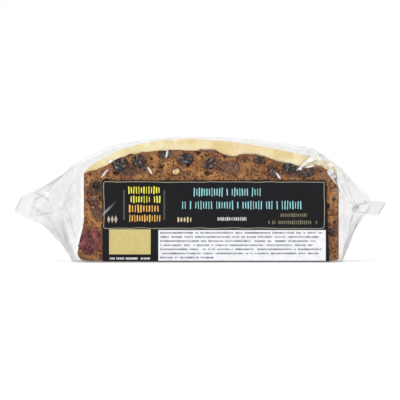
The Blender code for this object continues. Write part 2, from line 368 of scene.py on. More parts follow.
def blockFromBack(nodeName, pieceName, voxel):
    # the solid's back outline carried through to its front, so without the pockets for the fruit
    low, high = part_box(nodeName)
    bm = mergedSolid(nodeName)
    others = [f for f in bm.faces if min(v.co.y for v in f.verts) < high.y - 0.01 * mm]
    bmesh.ops.delete(bm, geom=others, context="FACES")
    swept = bmesh.ops.extrude_face_region(bm, geom=bm.faces[:])["geom"]
    moved = [part for part in swept if isinstance(part, bmesh.types.BMVert)]
    bmesh.ops.translate(bm, verts=moved, vec=(0, low.y - high.y, 0))
    bmesh.ops.recalc_face_normals(bm, faces=bm.faces)
    piece = addPiece(pieceName, closed(bm, bpy.data.meshes.new(pieceName)))
    remesh = piece.modifiers.new("even", "REMESH")
    remesh.mode = "VOXEL"
    remesh.voxel_size = voxel
    return keepResult(piece)


def backOutline(nodeName):
    # the solid's outline seen from behind, as line pieces ((x, z), (x, z))
    bm = mergedSolid(nodeName)
    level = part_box(nodeName)[1].y - 0.01 * mm
    lines = []
    for edge in bm.edges:
        flat = [min(v.co.y for v in face.verts) > level for face in edge.link_faces]
        if len(flat) == 2 and flat[0] != flat[1]:
            lines.append([(v.co.x, v.co.z) for v in edge.verts])
    bm.free()
    return np.array(lines)


def fromLine(spots, start, along):
    # distance from a line piece, and the share of its length that lies behind the nearest place
    share = np.clip((spots - start) @ along / max(along @ along, 1e-18), 0, 1)
    return np.linalg.norm(spots - start - share[:, None] * along, axis=1), share


def reachFromOutline(points, lines):
    # how far each point is from the nearest line piece, seen along Y
    nearest = np.full(len(points), np.inf)
    for start, end in lines:
        nearest = np.minimum(nearest, fromLine(points[:, [0, 2]], start, end - start)[0])
    return nearest


def seatFruit(points, look):
    # points of the cut face that lie behind a piece of fruit go back, so that the fruit sits in a hollow
    for name in fruitNodes:
        shape = rayShape(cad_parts[name].data)
        low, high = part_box(name)
        close = (points[:, 1] < low.y + look["seatReach"]) & (points[:, 0] > low.x) & (points[:, 0] < high.x)
        close &= (points[:, 2] > low.z) & (points[:, 2] < high.z)
        middle = (low + high) / 2
        for i in np.flatnonzero(close):
            x = middle.x + (points[i, 0] - middle.x) * look["lip"]
            z = middle.z + (points[i, 2] - middle.z) * look["lip"]
            if shape.ray_cast(Vector((x, low.y - 1 * mm, z)), Vector((0, 1, 0)))[0]:
                points[i, 1] = low.y + look["seat"]
    return points


def refineWhere(mesh, test):
    # halves the edges of the faces whose middle passes the test
    bm = opened(mesh)
    edges = {e for f in bm.faces if test(f.calc_center_median()) for e in f.edges}
    bmesh.ops.subdivide_edges(bm, edges=list(edges), cuts=1, use_grid_fill=True)
    closed(bm, mesh)


def layeredFaces(rows, columns):
    # faces of a closed sheet whose front and back points lie row by row
    wide = columns + 1
    layer = (rows + 1) * wide
    faces = []
    for a in (row * wide + i for row in range(rows) for i in range(columns)):
        b, c, d = a + 1, a + wide + 1, a + wide
        faces += [(a, b, c, d), (a + layer, d + layer, c + layer, b + layer)]
    rim = list(range(wide)) + [row * wide + columns for row in range(1, rows + 1)]
    rim += [rows * wide + i for i in range(columns - 1, -1, -1)]
    rim += [row * wide for row in range(rows - 1, 0, -1)]
    return faces + [(a, a + layer, b + layer, b) for a, b in zip(rim, rim[1:] + rim[:1])]


# Crumb of the cake

cakeLook = {
    "voxel": 0.8 * mm,
    "bigPit": 5.5 * mm,
    "smallPit": 2.1 * mm,
    "pitDepth": 1.3 * mm,
    "lump": 4.0 * mm,
    "lumpDepth": 0.9 * mm,
    "seat": 2.6 * mm,
    "seatReach": 1.2 * mm,
    "lip": 1.14,
    "crustWidth": 3.0 * mm,
    "halo": 5 * mm,
    "golden": (0.43, 0.192, 0.050),
    "brown": (0.18, 0.070, 0.023),
    "reddish": (0.16, 0.052, 0.022),
    "bright": (0.68, 0.39, 0.14),
    "plum": (0.052, 0.025, 0.019),
    "toasted": (0.33, 0.145, 0.052),
    "pitColour": (0.050, 0.018, 0.009),
    "crust": (0.15, 0.058, 0.022),
    "clinging": (0.24, 0.095, 0.032),
    "smear": (0.075, 0.032, 0.020),
    # dark patches where fruit lies just under the cut: x, z, reach in x and z (all mm), strength
    "stains": (
        (-63.5, 44.0, 5.6, 6.0, 1.0),
        (-63.0, 36.5, 5.2, 5.6, 0.95),
        (-61.0, 30.0, 4.2, 5.2, 0.85),
        (-43.5, 55.5, 5.5, 5.0, 0.95),
        (-36.0, 57.0, 6.0, 4.5, 0.85),
        (-24.0, 55.5, 2.0, 6.5, 0.6),
        (-8.0, 53.3, 3.3, 3.1, 0.75),
        (14.0, 58.0, 6.5, 3.6, 0.6),
        (45.0, 58.0, 4.5, 3.0, 0.6),
        (59.0, 54.5, 9.0, 4.0, 0.8),
        (79.5, 19.0, 3.6, 4.0, 0.8),
        (80.5, 37.5, 1.6, 2.4, 0.8),
        (79.6, 31.0, 1.8, 4.0, 0.5),
        (26.0, 62.5, 5.0, 3.0, 0.4),
    ),
}


def crumbTree():
    board, ins = startTree(
        "crumbRelief", bigPit=5.0 * mm, smallPit=2.0 * mm, pitDepth=1.0 * mm, lump=6.0 * mm,
        lumpDepth=0.3 * mm
    )
    place, facing = board.surface()
    cutFace = board.step(abs(board.axis(facing, "Y")), 0.6, 0.95)
    shifted = board.jolted(place, board.noise(place, 1 / 420, 2.0, 0.5).also("Color"), 1.6 * mm)
    pits = None
    for size, least, reach in (("bigPit", 0.6, 0.4), ("smallPit", 0.25, 0.5)):
        spots = board.cells(shifted, ins[size])
        chance = board.add("FunctionNodeSeparateColor", {}, {0: spots.also("Color")})
        radius = board.step(chance, least, 1.0) * reach
        hollow = board.kept((radius - spots) / (radius + 0.001) * 1.6)
        pits = hollow if pits is None else board.maths("MAXIMUM", pits, hollow * 0.6)
    lumps = board.noise(place, ins["lump"], 4.0, 0.6)
    inward = (pits * ins["pitDepth"] + lumps * ins["lumpDepth"]) * (cutFace * 0.5 + 0.5)
    # the pits' depth is stored so that the crumb's finish can paint shade into them
    noted = board.noted(ins["Geometry"], "pit", pits)
    return endTree(board, board.pushedIn(noted, facing, inward), ins["finish"])


def crumbFinish():
    look = cakeLook
    board, place = startFinish("crumbFinish", specularIORLevel=0.3)
    broad = board.noise(place, 8 * mm)
    fine = board.noise(place, 2.2 * mm, 4.0, 0.7)
    grain = board.noise(place, 0.85 * mm, 3.0, 0.65)
    holes = board.cells(board.jolted(place, fine.also("Color"), 1 * mm), 2.3 * mm)
    baked = board.tint(board.step(fine * 0.6 + broad * 0.4, 0.4, 0.62), look["crust"], look["toasted"])
    colour = board.layered(
        look["brown"],
        (board.step(broad * 0.5 + fine * 0.5, 0.42, 0.58), look["golden"]),
        (board.painted("warm"), look["reddish"]),
        (board.step(grain, 0.52, 0.70) * 0.55, look["bright"]),
        ((1 - board.step(grain, 0.34, 0.50)) * 0.75, look["crust"]),
        (board.painted("stain") * (1 - board.step(grain, 0.5, 0.7) * 0.5), look["plum"]),
        (board.painted("crust"), baked),
        # painted shade: the crumb's holes and the hollows of its pits are coloured near black-brown, as if in
        # shadow
        ((1 - board.step(holes, 0.16, 0.31)) * 0.95, look["pitColour"]),
        (board.kept(board.painted("pit") * 1.8), look["pitColour"]),
    )
    relief = fine * 0.5 + grain * 0.5 + board.step(holes, 0.08, 0.32) * 0.5
    return board.wear(baseColor=colour, roughness=0.5 + fine * 0.4, normal=board.bump(relief, 0.6 * mm, 0.9))


def crumbOver(board, place, colour):
    # crumb that clings to a piece where its mesh is painted with rim
    rim = board.painted("rim")
    speckle = board.step(board.noise(place, 1.2 * mm), 0.42, 0.6)
    return board.tint(rim, colour, board.tint(speckle, cakeLook["smear"], cakeLook["clinging"])), rim


def makeCake():
    look = cakeLook
    piece = blockFromBack("cake", "cakeCrumb", look["voxel"])
    labelLow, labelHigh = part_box("label")
    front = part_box("cake")[0].y + 1.0 * mm

    def showsInFront(spot):
        # the part of the cut face that the label leaves open
        covered = labelLow.x + 2 * mm < spot.x < labelHigh.x - 4 * mm and spot.z < labelHigh.z - 2 * mm
        return spot.y < front and not covered

    refineWhere(piece.data, showsInFront)
    points = seatFruit(places(piece.data), look)
    movePoints(piece.data, points)
    x, y, z = points.T
    edge = reachFromOutline(points, backOutline("cake"))
    under = reachFromOutline(points, backOutline("marzipan"))
    wobble = latticeNoise(points, 4 * mm, 3)
    crust = 1 - smoothly(edge + wobble * 1.2 * mm, 0.3 * mm, look["crustWidth"])
    crust *= smoothly(under, 1 * mm, 3 * mm)
    warm = 0.75 * (1 - smoothly(under + wobble * 2.0 * mm, 1.0 * mm, 7 * mm))
    stain = np.zeros(len(points))
    for stainX, stainZ, wide, tall, strength in look["stains"]:
        reach = np.hypot((x - stainX * mm) / (wide * mm), (z - stainZ * mm) / (tall * mm)) + 0.35 * wobble
        stain = np.maximum(stain, strength * (1 - smoothly(reach, 0.5, 1.15)))
    for name in fruitNodes:
        low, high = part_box(name)
        reach = np.hypot(
            (x - (low.x + high.x) / 2) / (high.x - low.x + look["halo"]) * 2,
            (z - (low.z + high.z) / 2) / (high.z - low.z + look["halo"]) * 2,
        )
        warm = np.maximum(warm, 0.8 * (1 - smoothly(reach + 0.25 * wobble, 0.7, 1.2)) * (y < 0))
    covered = (x > labelLow.x - mm) & (x < labelHigh.x - 3 * mm) & (y < 0) & (z < labelHigh.z + mm)
    stain *= 0.95 * (y < 0)
    paint(piece.data, open=1.0 - covered, reach=edge, crust=crust * 0.85, warm=warm, stain=stain)
    applyTree(piece, crumbTree(), finish=crumbFinish(), **look)
    piece.data.shade_smooth()
    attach(piece, "root")
    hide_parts("cake")
    print("cake crumb:", len(piece.data.polygons), "faces")
    return piece


# Marzipan

marzipanLook = {
    "voxel": 0.75 * mm,
    "wave": 16 * mm,
    "waveDepth": 0.45 * mm,
    "dimple": 2.6 * mm,
    "dimpleDepth": 0.12 * mm,
    "cream": (0.73, 0.625, 0.37),
    "pale": (0.84, 0.78, 0.58),
    "deep": (0.64, 0.49, 0.19),
    "pink": (0.74, 0.47, 0.31),
    "damp": (0.62, 0.36, 0.12),
    "stainX": 26 * mm,
    "stainReach": 14 * mm,
    "overlap": 1.0 * mm,
    "edgeWave": 0.5 * mm,
    # upper edge of the crumb smeared over the cut marzipan: x and z in mm
    "smearLine": (
        (-6.0, 40.0), (-2.6, 67.0), (0.6, 68.2), (9.1, 67.7), (12.7, 65.5), (18.1, 63.9), (21.7, 63.7),
        (23.6, 64.8), (28.0, 65.5), (34.4, 65.0), (38.9, 63.7), (43.4, 62.1), (47.0, 60.8), (50.0, 60.5),
        (54.2, 58.9), (57.8, 58.4), (62.0, 57.3), (66.0, 57.6), (68.9, 58.8), (73.3, 58.0), (75.6, 55.0),
        (77.0, 50.0),
    ),
}


def pasteTree():
    board, ins = startTree(
        "pasteRelief", wave=16 * mm, waveDepth=0.4 * mm, dimple=2.6 * mm, dimpleDepth=0.1 * mm
    )
    place, facing = board.surface()
    waves, dimples = (board.noise(place, ins[size], 2.0, 0.5) for size in ("wave", "dimple"))
    inward = waves * ins["waveDepth"] + dimples * ins["dimpleDepth"]
    return endTree(board, board.pushedIn(ins["Geometry"], facing, inward), ins["finish"])


def marzipanFinish():
    look = marzipanLook
    fixed = {"subsurfaceWeight": 0.15, "subsurfaceScale": 2 * mm, "specularIORLevel": 0.4}
    board, place = startFinish("marzipanFinish", **fixed)
    fine = board.noise(place, 1.1 * mm, 3.0, 0.6)
    near = 1 - board.kept(abs(board.axis(place, "X") - look["stainX"]) / look["stainReach"])
    blush = board.step(board.noise(place, 6 * mm, 2.0), 0.44, 0.6) * 0.4 + 0.3
    colour = board.layered(
        look["cream"],
        (board.step(board.noise(place, 13 * mm, 2.0), 0.42, 0.66) * 0.75, look["deep"]),
        (board.step(board.noise(place, 9 * mm), 0.45, 0.75) * 0.7, look["pale"]),
        (near * blush, look["pink"]),
        (board.painted("damp") * 0.7, look["damp"]),
    )
    colour, rim = crumbOver(board, place, colour)
    return board.wear(baseColor=colour, roughness=0.42 + fine * 0.25, normal=board.bump(fine, 0.25 * mm, 0.5))


def makeMarzipan():
    look = marzipanLook
    piece = blockFromBack("marzipan", "marzipanLayer", look["voxel"])
    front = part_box("marzipan")[0].y + 1.0 * mm
    smearX, smearZ = np.array(look["smearLine"]).T * mm
    refineWhere(piece.data, lambda spot: spot.y < front and spot.x > smearX[0])
    applyTree(piece, pasteTree(), finish=marzipanFinish(), **look)
    points = places(piece.data)
    gap = reachFromOutline(points, backOutline("cake"))
    wave = latticeNoise(points * (1, 0.3, 0), 3.5 * mm, 12)
    points[:, 2] -= (1 - smoothly(gap, 0.8 * mm, 2.2 * mm)) * (look["overlap"] + look["edgeWave"] * wave)
    movePoints(piece.data, points)
    damp = 1 - smoothly(gap + 0.5 * mm * latticeNoise(points, 3 * mm, 8), 0.2 * mm, 1.5 * mm)
    below = np.interp(points[:, 0], smearX, smearZ) - points[:, 2]
    below += 0.3 * mm * latticeNoise(points, 3 * mm, 17)
    paint(piece.data, damp=damp, rim=smoothly(below, -0.55 * mm, 0.5 * mm) * (points[:, 1] < -15 * mm))
    piece.data.shade_smooth()
    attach(piece, "root")
    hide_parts("marzipan")
    print("marzipan:", len(piece.data.polygons), "faces")


# Fruit that the knife has laid open

fruitLook = {
    # fold size, fold depth, share of its reach that stays clear of crumb
    "raisin": (3.4 * mm, 1.2 * mm, 0.94),
    "date": (5.0 * mm, 0.7 * mm, 0.9),
    "almond": (3.0 * mm, 0.15 * mm, 0.72),
    "cherry": (7.0 * mm, 1.2 * mm, 0.95),
    # pieces that crumb covers further in
    "buried": {"raisin_07": 0.62, "raisin_11": 0.38, "raisin_12": 0.6},
    "cherrySwell": 1.12,
    "front": -20.12 * mm,
    "sectors": 24,
}


def wrinkleTree():
    board, ins = startTree("fruitWrinkles", foldSize=2 * mm, foldDepth=0.5 * mm, shift=(0, 0, 0))
    place, facing = board.surface()
    moved = board.add("ShaderNodeVectorMath", {"operation": "ADD"}, {0: place, 1: ins["shift"]})
    size, depth = ins["foldSize"], ins["foldDepth"]
    valley = board.valleys(board.noise(moved, size, 1.5, 0.5, 1.2))
    small = board.noise(moved, size / 3.0, 2.0, 0.5)
    lumps = board.noise(moved, size / 0.55, 1.0, 0.5)
    inward = valley * depth + (small - 1.5) * depth * 0.3 + (lumps - 0.5) * depth * 2.0
    # the folds' valleys are stored so that the finishes can paint shade into them
    noted = board.noted(ins["Geometry"], "valley", valley)
    return endTree(board, board.pushedIn(noted, facing, inward), ins["finish"])


def raisinFinish():
    board, place = startFinish("raisinFinish", coatRoughness=0.16, specularIORLevel=0.3)
    tone = board.noise(place, 2.6 * mm, 4.0, 0.6)
    fine = board.noise(place, 0.7 * mm, 2.0)
    bloomAndGlint = board.noise(place, 1.3 * mm, 2.0, 0.5, 1.5)
    colour = board.layered(
        (0.013, 0.009, 0.009),
        (board.step(tone, 0.45, 0.60), (0.20, 0.10, 0.06)),
        # painted shade: the wrinkles' valleys are darkened
        (board.painted("valley") * 0.8, (0.005, 0.004, 0.004)),
        # partly the skin's greyish bloom, partly painted highlight: bluish-white flecks at the noise's peaks
        (board.step(bloomAndGlint, 0.60, 0.69) * 0.8, (0.36, 0.36, 0.39)),
    )
    colour, rim = crumbOver(board, place, colour)
    return board.wear(
        baseColor=colour,
        roughness=0.22 + tone * 0.3 + rim * 0.4,
        coatWeight=0.25 - rim * 0.25,
        normal=board.bump(fine + tone, 0.35 * mm, 0.6),
    )


def currantFinish():
    board, place = startFinish("currantFinish")
    tone = board.noise(place, 1.5 * mm)
    colour = board.tint(tone, (0.010, 0.006, 0.005), (0.075, 0.028, 0.014))
    return board.wear(baseColor=colour, roughness=0.4 + tone * 0.3)


def dateFinish():
    board, place = startFinish("dateFinish", specularIORLevel=0.3)
    tone = board.noise(place, 2.4 * mm, 4.0, 0.6, 0.8)
    colour = board.tint(board.step(tone, 0.35, 0.7), (0.085, 0.038, 0.022), (0.25, 0.125, 0.062))
    return board.wear(baseColor=crumbOver(board, place, colour)[0], roughness=0.35 + tone * 0.3)


def almondFinish():
    board, place = startFinish("almondFinish")
    tone = board.noise(place, 1.4 * mm)
    colour = board.tint(board.step(tone, 0.4, 0.65), (0.50, 0.29, 0.11), (0.74, 0.55, 0.29))
    return board.wear(baseColor=crumbOver(board, place, colour)[0], roughness=0.5 + tone * 0.2)


def cherryFinish():
    board, place = startFinish("cherryFinish", coatRoughness=0.12, specularIORLevel=0.25)
    tone = board.noise(place, 5.0 * mm, 3.0, 0.55, 0.5)
    fine = board.noise(place, 1.0 * mm, 2.0)
    paintedGleam = board.noise(place, 2.2 * mm, 2.0, 0.5, 2.0)
    colour = board.layered(
        (0.085, 0.007, 0.012),
        (board.step(tone, 0.40, 0.60), (0.29, 0.065, 0.058)),
        # painted shade: the folds' valleys are darkened
        (board.painted("valley") * 0.7, (0.055, 0.003, 0.006)),
        (board.painted("heart") * 0.9, (0.060, 0.002, 0.006)),
        # painted highlight: pinkish gleams and small pale sparkles, standing in for light on the glossy skin
        (board.step(paintedGleam, 0.60, 0.72) * 0.7, (0.40, 0.15, 0.13)),
        (board.step(fine, 0.64, 0.74) * 0.6, (0.50, 0.32, 0.31)),
    )
    colour, rim = crumbOver(board, place, colour)
    return board.wear(
        baseColor=colour,
        roughness=0.2 + tone * 0.25 + rim * 0.3,
        coatWeight=0.18 - rim * 0.18,
        normal=board.bump(fine * 0.3 + tone, 0.3 * mm, 0.35),
    )


def outlineShare(points, middle):
    # 0 at the middle and 1 at the outline, as seen along Y
    across, up = points[:, 0] - middle.x, points[:, 2] - middle.z
    away = np.hypot(across, up)
    count = fruitLook["sectors"]
    sector = ((np.arctan2(up, across) / (2 * math.pi) % 1.0) * count).astype(int) % count
    furthest = np.array([away[sector == k].max(initial=1e-6) for k in range(count)])
    return away / furthest[sector]


def makeFruit():
    tree = wrinkleTree()
    finishes = {
        "raisin": raisinFinish(),
        "date": dateFinish(),
        "almond": almondFinish(),
        "cherry": cherryFinish(),
    }
    swell = fruitLook["cherrySwell"]
    for i, name in enumerate(fruitNodes):
        kind, number = name.split("_")[0], name.split("_")[-1]
        foldSize, foldDepth, clear = fruitLook[kind]
        mesh = closed(mergedSolid(name), bpy.data.meshes.new(name))
        piece = addPiece(kind + "Fruit" + (number if number.isdigit() else ""), mesh)
        finer = piece.modifiers.new("finer", "SUBSURF")
        finer.levels = finer.render_levels = 2
        keepResult(piece)
        shift = (0.1 * i, 0, 0)
        applyTree(piece, tree, finish=finishes[kind], foldSize=foldSize, foldDepth=foldDepth, shift=shift)
        points = places(piece.data)
        low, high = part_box(name)
        if kind == "cherry":
            middle = (low.x + high.x) / 2 + 0.2 * mm, 0, (low.z + high.z) / 2
            points = middle + (points - middle) * (swell, 1, swell)
        points[:, 1] = np.maximum(points[:, 1], fruitLook["front"])
        movePoints(piece.data, points)
        clear = fruitLook["buried"].get(name, clear)
        share = outlineShare(points, (low + high) / 2)
        share += 0.24 * latticeNoise(points, 2.2 * mm, 60 + i) + 0.1 * latticeNoise(points, 0.9 * mm, 80 + i)
        paint(piece.data, rim=smoothly(share, clear, clear + 0.2), heart=1 - smoothly(share, 0.15, 0.48))
        piece.data.shade_smooth()
        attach(piece, "root")
        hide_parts(name)
    print("fruit pieces:", len(fruitNodes))
    return finishes


# Small bits in the crumb, and fruit in the back

bitLook = {
    # name: points per square metre, size, flattening, seed
    "currantBits": (14000, 0.9 * mm, 0.75, 4),
    "peelBits": (7000, 0.9 * mm, 0.6, 11),
    "nutBits": (2600, 0.8 * mm, 0.7, 23),
    "backRaisins": (6000, 5.4 * mm, 0.66, 31),
    "least": 12 * mm,
    "rimLarge": 6.5 * mm,
    "rimSmall": 1.6 * mm,
    # what stands proud of the slab's back is pressed in by this share, so that the film goes over it
    "backFace": 18.4 * mm,
    "pressed": 0.62,
}


def bitTree():
    board, ins = startTree(
        "scatteredBits", density=1000.0, size=1 * mm, flat=0.7, least=0.0, detail=2, seed=1, rough=0.3,
        side=0.0, rim=1 * mm
    )
    place, facing = board.surface()
    across, side, size = board.axis(facing, "Y"), ins["side"], ins["size"]
    chosen = (abs(across) > 0.8) * (board.read("open") > 0.9) * (board.read("reach") > ins["rim"])
    chosen = chosen * (1 - (abs(side) > 0.5) * (across * side < 0.0))
    points = board.add("GeometryNodeDistributePointsOnFaces", {"distribute_method": "POISSON"}, {
        "Mesh": ins["Geometry"],
        "Selection": chosen > 0.5,
        "Distance Min": ins["least"],
        "Density Max": ins["density"],
        "Seed": ins["seed"],
    })
    lump = board.add("GeometryNodeMeshIcoSphere", {}, {"Radius": 1.0, "Subdivisions": ins["detail"]})
    thick = size * ins["flat"]
    low = board.vector(X=size * 0.6, Y=size * 0.5, Z=thick * 0.6)
    high = board.vector(X=size * 1.4, Y=size * 0.6, Z=thick * 1.3)
    strewn = board.add("GeometryNodeInstanceOnPoints", {}, {
        "Points": points,
        "Instance": lump,
        "Rotation": board.chance("FLOAT_VECTOR", (0.0, 0.0, 0.0), (0.5, 6.28, 0.5), ins["seed"] + 1),
        "Scale": board.chance("FLOAT_VECTOR", low, high, ins["seed"] + 2),
    })
    whole = board.add("GeometryNodeRealizeInstances", {}, {"Geometry": strewn})
    valley = board.valleys(board.noise(place, size / 1.3, 2.0, 0.5, 0.8))
    # the valleys are stored for the painted shade in the raisin finish
    noted = board.noted(board.noted(whole, "valley", valley), "rim", 0.0)
    return endTree(board, board.pushedIn(noted, facing, valley * size * ins["rough"]), ins["finish"])


def peelFinish():
    board, place = startFinish("peelFinish", coatWeight=0.3, coatRoughness=0.2)
    tone = board.noise(place, 1.5 * mm)
    colour = board.tint(tone, (0.20, 0.06, 0.025), (0.48, 0.20, 0.05))
    return board.wear(baseColor=colour, roughness=0.25 + tone * 0.3)


def makeBits(crumb, finishes):
    tree = bitTree()
    inkOf = {
        "currantBits": (currantFinish(), "raisin"),
        "peelBits": (peelFinish(), "date"),
        "nutBits": (finishes["almond"], "almond"),
        "backRaisins": (finishes["raisin"], "raisin"),
    }
    for name, (finish, slot) in inkOf.items():
        density, size, flat, seed = bitLook[name]
        large = name == "backRaisins"
        piece = addPiece(name, crumb.data.copy())
        applyTree(
            piece,
            tree,
            finish=finish,
            density=density,
            size=size,
            flat=flat,
            least=bitLook["least"] if large else size * 1.5,
            detail=5 if large else 3,
            seed=seed,
            rough=0.28 if large else 0.2,
            side=1.0 if large else 0.0,
            rim=bitLook["rimLarge"] if large else bitLook["rimSmall"],
        )
        points = places(piece.data)
        points[:, 1] -= bitLook["pressed"] * np.maximum(points[:, 1] - bitLook["backFace"], 0) * large
        movePoints(piece.data, points)
        piece.data.shade_smooth()
        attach(piece, "root")
        print(name + ":", len(piece.data.polygons), "faces")


# Label

labelLook = {
    "step": 1.0 * mm,
    "ripple": 0.12 * mm,
    "black": (0.0035, 0.0037, 0.0055),
    "sheen": (0.009, 0.009, 0.012),
    "glare": (0.30, 0.30, 0.32),
    # painted highlight where the film puckers under the label, a bright streak: middle x and z, half length,
    # half width
    "streak": (-55.5 * mm, 31.5 * mm, 8.5 * mm, 0.9 * mm),
    "printLift": 0.03 * mm,
    "printDepth": 0.05 * mm,
    "cornerRadius": 1.7 * mm,
}


def labelWave(x, z):
    # how far the label stands forward of its flat place, in metres, where the film under it puckers
    low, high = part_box("label")
    ripple = np.sin(x / (17 * mm) + 1.3) * np.sin(z / (13 * mm)) + 0.5 * np.sin(x / (7 * mm) - z / (9 * mm))
    pucker = np.exp(-(((x - low.x - 5 * mm) * 0.8 - (z - low.z - 29 * mm)) / (1.6 * mm)) ** 2)
    pucker = pucker * np.exp(-((x - low.x - 3 * mm) / (7 * mm)) ** 2)
    return labelLook["ripple"] * ripple + 0.35 * mm * pucker


def bendToLabel(piece):
    points = places(piece.data)
    points[:, 1] -= labelWave(points[:, 0], points[:, 2])
    movePoints(piece.data, points)


def labelFinish():
    look = labelLook
    board, place = startFinish("labelFinish", specularIORLevel=0.18)
    sheenCloud = board.noise(place, 14 * mm)
    grain = board.noise(place, 0.35 * mm, 2.0)
    middleX, middleZ, halfLength, halfWidth = look["streak"]
    x = board.axis(place, "X")
    right, up = x - middleX, x.also("Z") - middleZ
    # 0.7071 turns both ways by 45 degrees
    along = (right + up) * (0.7071 / halfLength)
    across = (up - right) * (0.7071 / halfWidth)
    streak = board.kept(1 - abs(along)) * board.kept(1 - abs(across))
    streak = board.kept(streak * (1.1 - along))
    # painted reflection: lighter clouds of sheen and a painted highlight streak are laid into the black
    return board.wear(
        baseColor=board.layered(look["black"], (sheenCloud, look["sheen"]), (streak, look["glare"])),
        roughness=0.34 + sheenCloud * 0.14 - streak * 0.1,
        normal=board.bump(grain, 0.03 * mm, 0.5),
    )


def inkFinish(name, colour):
    board, place = startFinish(name, specularIORLevel=0.3)
    patchy = board.noise(place, 2.5 * mm)
    darker = tuple(part * 0.9 for part in colour)
    printed = board.tint(board.step(patchy, 0.35, 0.75), colour, darker)
    return board.wear(baseColor=printed, roughness=0.32 + patchy * 0.15)


def thinSheet(name, corners, front, back, finish):
    # a closed flat sheet between two depths, cut fine enough to follow the label's ripples
    left, rightLow, rightTop, low, top = corners
    step = labelLook["step"]
    wide = max(1, int((rightLow - left) / step))
    tall = max(1, int((top - low) / step))
    points = []
    for y in (front, back):
        for row in range(tall + 1):
            right = mixed(rightLow, rightTop, row / tall)
            z = mixed(low, top, row / tall)
            points += [(mixed(left, right, i / wide), y, z) for i in range(wide + 1)]
    piece = fromFaces(name, points, layeredFaces(tall, wide))
    piece.data.materials.append(finish)
    return piece


def makeLabelSheet():
    low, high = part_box("label")
    corners = [v.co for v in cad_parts["label"].data.vertices]
    rightTop = max(v.x for v in corners if v.z > high.z - 1 * mm)
    rightLow = max(v.x for v in corners if v.z < low.z + 1 * mm)
    piece = thinSheet("labelSheet", (low.x, rightLow, rightTop, low.z, high.z), low.y, high.y, labelFinish())
    roundCorner(piece, rightTop, high.z)
    bendToLabel(piece)
    piece.data.shade_smooth()
    piece.data.set_sharp_from_angle(angle=math.radians(50))
    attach(piece, "root")
    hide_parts("label")
    print("label:", len(piece.data.polygons), "faces")


def roundCorner(piece, right, top):
    # rounds the sheet's upper right corner
    radius = labelLook["cornerRadius"]
    points = places(piece.data)
    x = (points[:, 0] - right + radius) / radius
    z = (points[:, 2] - top + radius) / radius
    inside = (x > 0) & (z > 0)
    longest = np.maximum(np.maximum(x, z), 1e-6)
    reach = np.maximum(np.hypot(x, z), 1e-6)
    points[inside, 0] -= (x - x * longest / reach)[inside] * radius
    points[inside, 2] -= (z - z * longest / reach)[inside] * radius
    movePoints(piece.data, points)


def printTree():
    # a row of small flat marks along X: strokes, lozenges and dots, grouped with gaps between
    board, ins = startTree(
        "printRow", start=(0, 0, 0), count=10, pitch=2 * mm, width=1.6 * mm, height=2 * mm, depth=0.05 * mm,
        spread=0.3, tilt=0.0, shapes=1, firstShape=0, gaps=0.1, seed=1
    )
    sockets = {"Count": ins["count"], "Start Location": ins["start"], "Offset": board.vector(X=ins["pitch"])}
    line = board.add("GeometryNodeMeshLine", {}, sockets)
    shapes = [board.add("GeometryNodeMeshCube", {}, {"Size": (1, 1, 1)})]
    for corners in (14, 4):
        disc = board.add("GeometryNodeMeshCylinder", {}, {"Vertices": corners, "Radius": 0.55, "Depth": 1.0})
        sockets = {"Geometry": disc, "Rotation": (math.pi / 2, 0, 0)}
        shapes.append(board.add("GeometryNodeTransform", {}, sockets))
    kinds = board.tree.nodes.new("GeometryNodeGeometryToInstance")
    for shape in reversed(shapes):
        board.feed(kinds.inputs[0], shape)
    seed, least = ins["seed"], 1 - ins["spread"]
    wide = board.chance("FLOAT", least, 1 + ins["spread"], seed + 1)
    tall = board.chance("FLOAT", least, 1.0, seed + 2)
    lean = board.chance("FLOAT", 0 - ins["tilt"], ins["tilt"], seed + 3)
    row = board.add("GeometryNodeInstanceOnPoints", {}, {
        "Points": line,
        "Selection": board.chance("FLOAT", 0.0, 1.0, seed + 4) > ins["gaps"],
        "Instance": Wire(kinds.outputs[0]),
        "Pick Instance": True,
        "Instance Index": board.chance("INT", ins["firstShape"], ins["shapes"] - 1, seed),
        "Rotation": board.vector(Y=lean),
        "Scale": board.vector(X=ins["width"] * wide, Y=ins["depth"], Z=ins["height"] * tall),
    })
    return endTree(board, row, ins["finish"])


printRows = (
    # name, ink, left, right, bottom, top (all mm), marks, spread, tilt, shapes, filled share, gaps;
    # the tilt is so small that no two strokes of a row meet
    ("titleUpper", "blue", -4.2, 36.8, 39.4, 45.0, 27, 0.35, 0.05, 1, 0.36, 0.16),
    ("titleLower", "blue", -11.2, 61.2, 31.6, 37.2, 46, 0.35, 0.05, 1, 0.36, 0.16),
    ("badgeRow1", "yellow", -43.4, -23.8, 41.0, 45.8, 13, 0.35, 0.05, 1, 0.42, 0.05),
    ("badgeRow2", "yellow", -42.0, -23.4, 35.6, 40.2, 12, 0.35, 0.05, 1, 0.42, 0.05),
    ("badgeRow3", "orange", -43.0, -24.4, 29.9, 34.8, 11, 0.35, 0.05, 1, 0.42, 0.05),
    ("badgeRow4", "orange", -42.8, -23.4, 24.2, 28.8, 13, 0.3, 0.05, 1, 0.42, 0.05),
    ("countMarks", "beige", -13.9, -4.6, 24.0, 27.4, 5, 0.25, 0.0, 3, 0.45, 0.0),
    ("smallWords", "white", 10.3, 29.2, 25.0, 27.3, 17, 0.35, 0.1, 1, 0.46, 0.12),
    ("oliveUpper", "olive", 48.2, 64.4, 27.2, 29.6, 14, 0.3, 0.1, 1, 0.5, 0.05),
    ("oliveLower", "olive", 40.8, 70.4, 22.8, 25.3, 25, 0.3, 0.1, 1, 0.5, 0.1),
    ("dateLine", "white", -54.4, -29.8, 1.7, 3.1, 30, 0.3, 0.0, 1, 0.62, 0.1),
    ("motif", "cream", -55.8, -49.4, 23.6, 28.2, 3, 0.15, 0.0, 3, 0.8, 0.0),
)

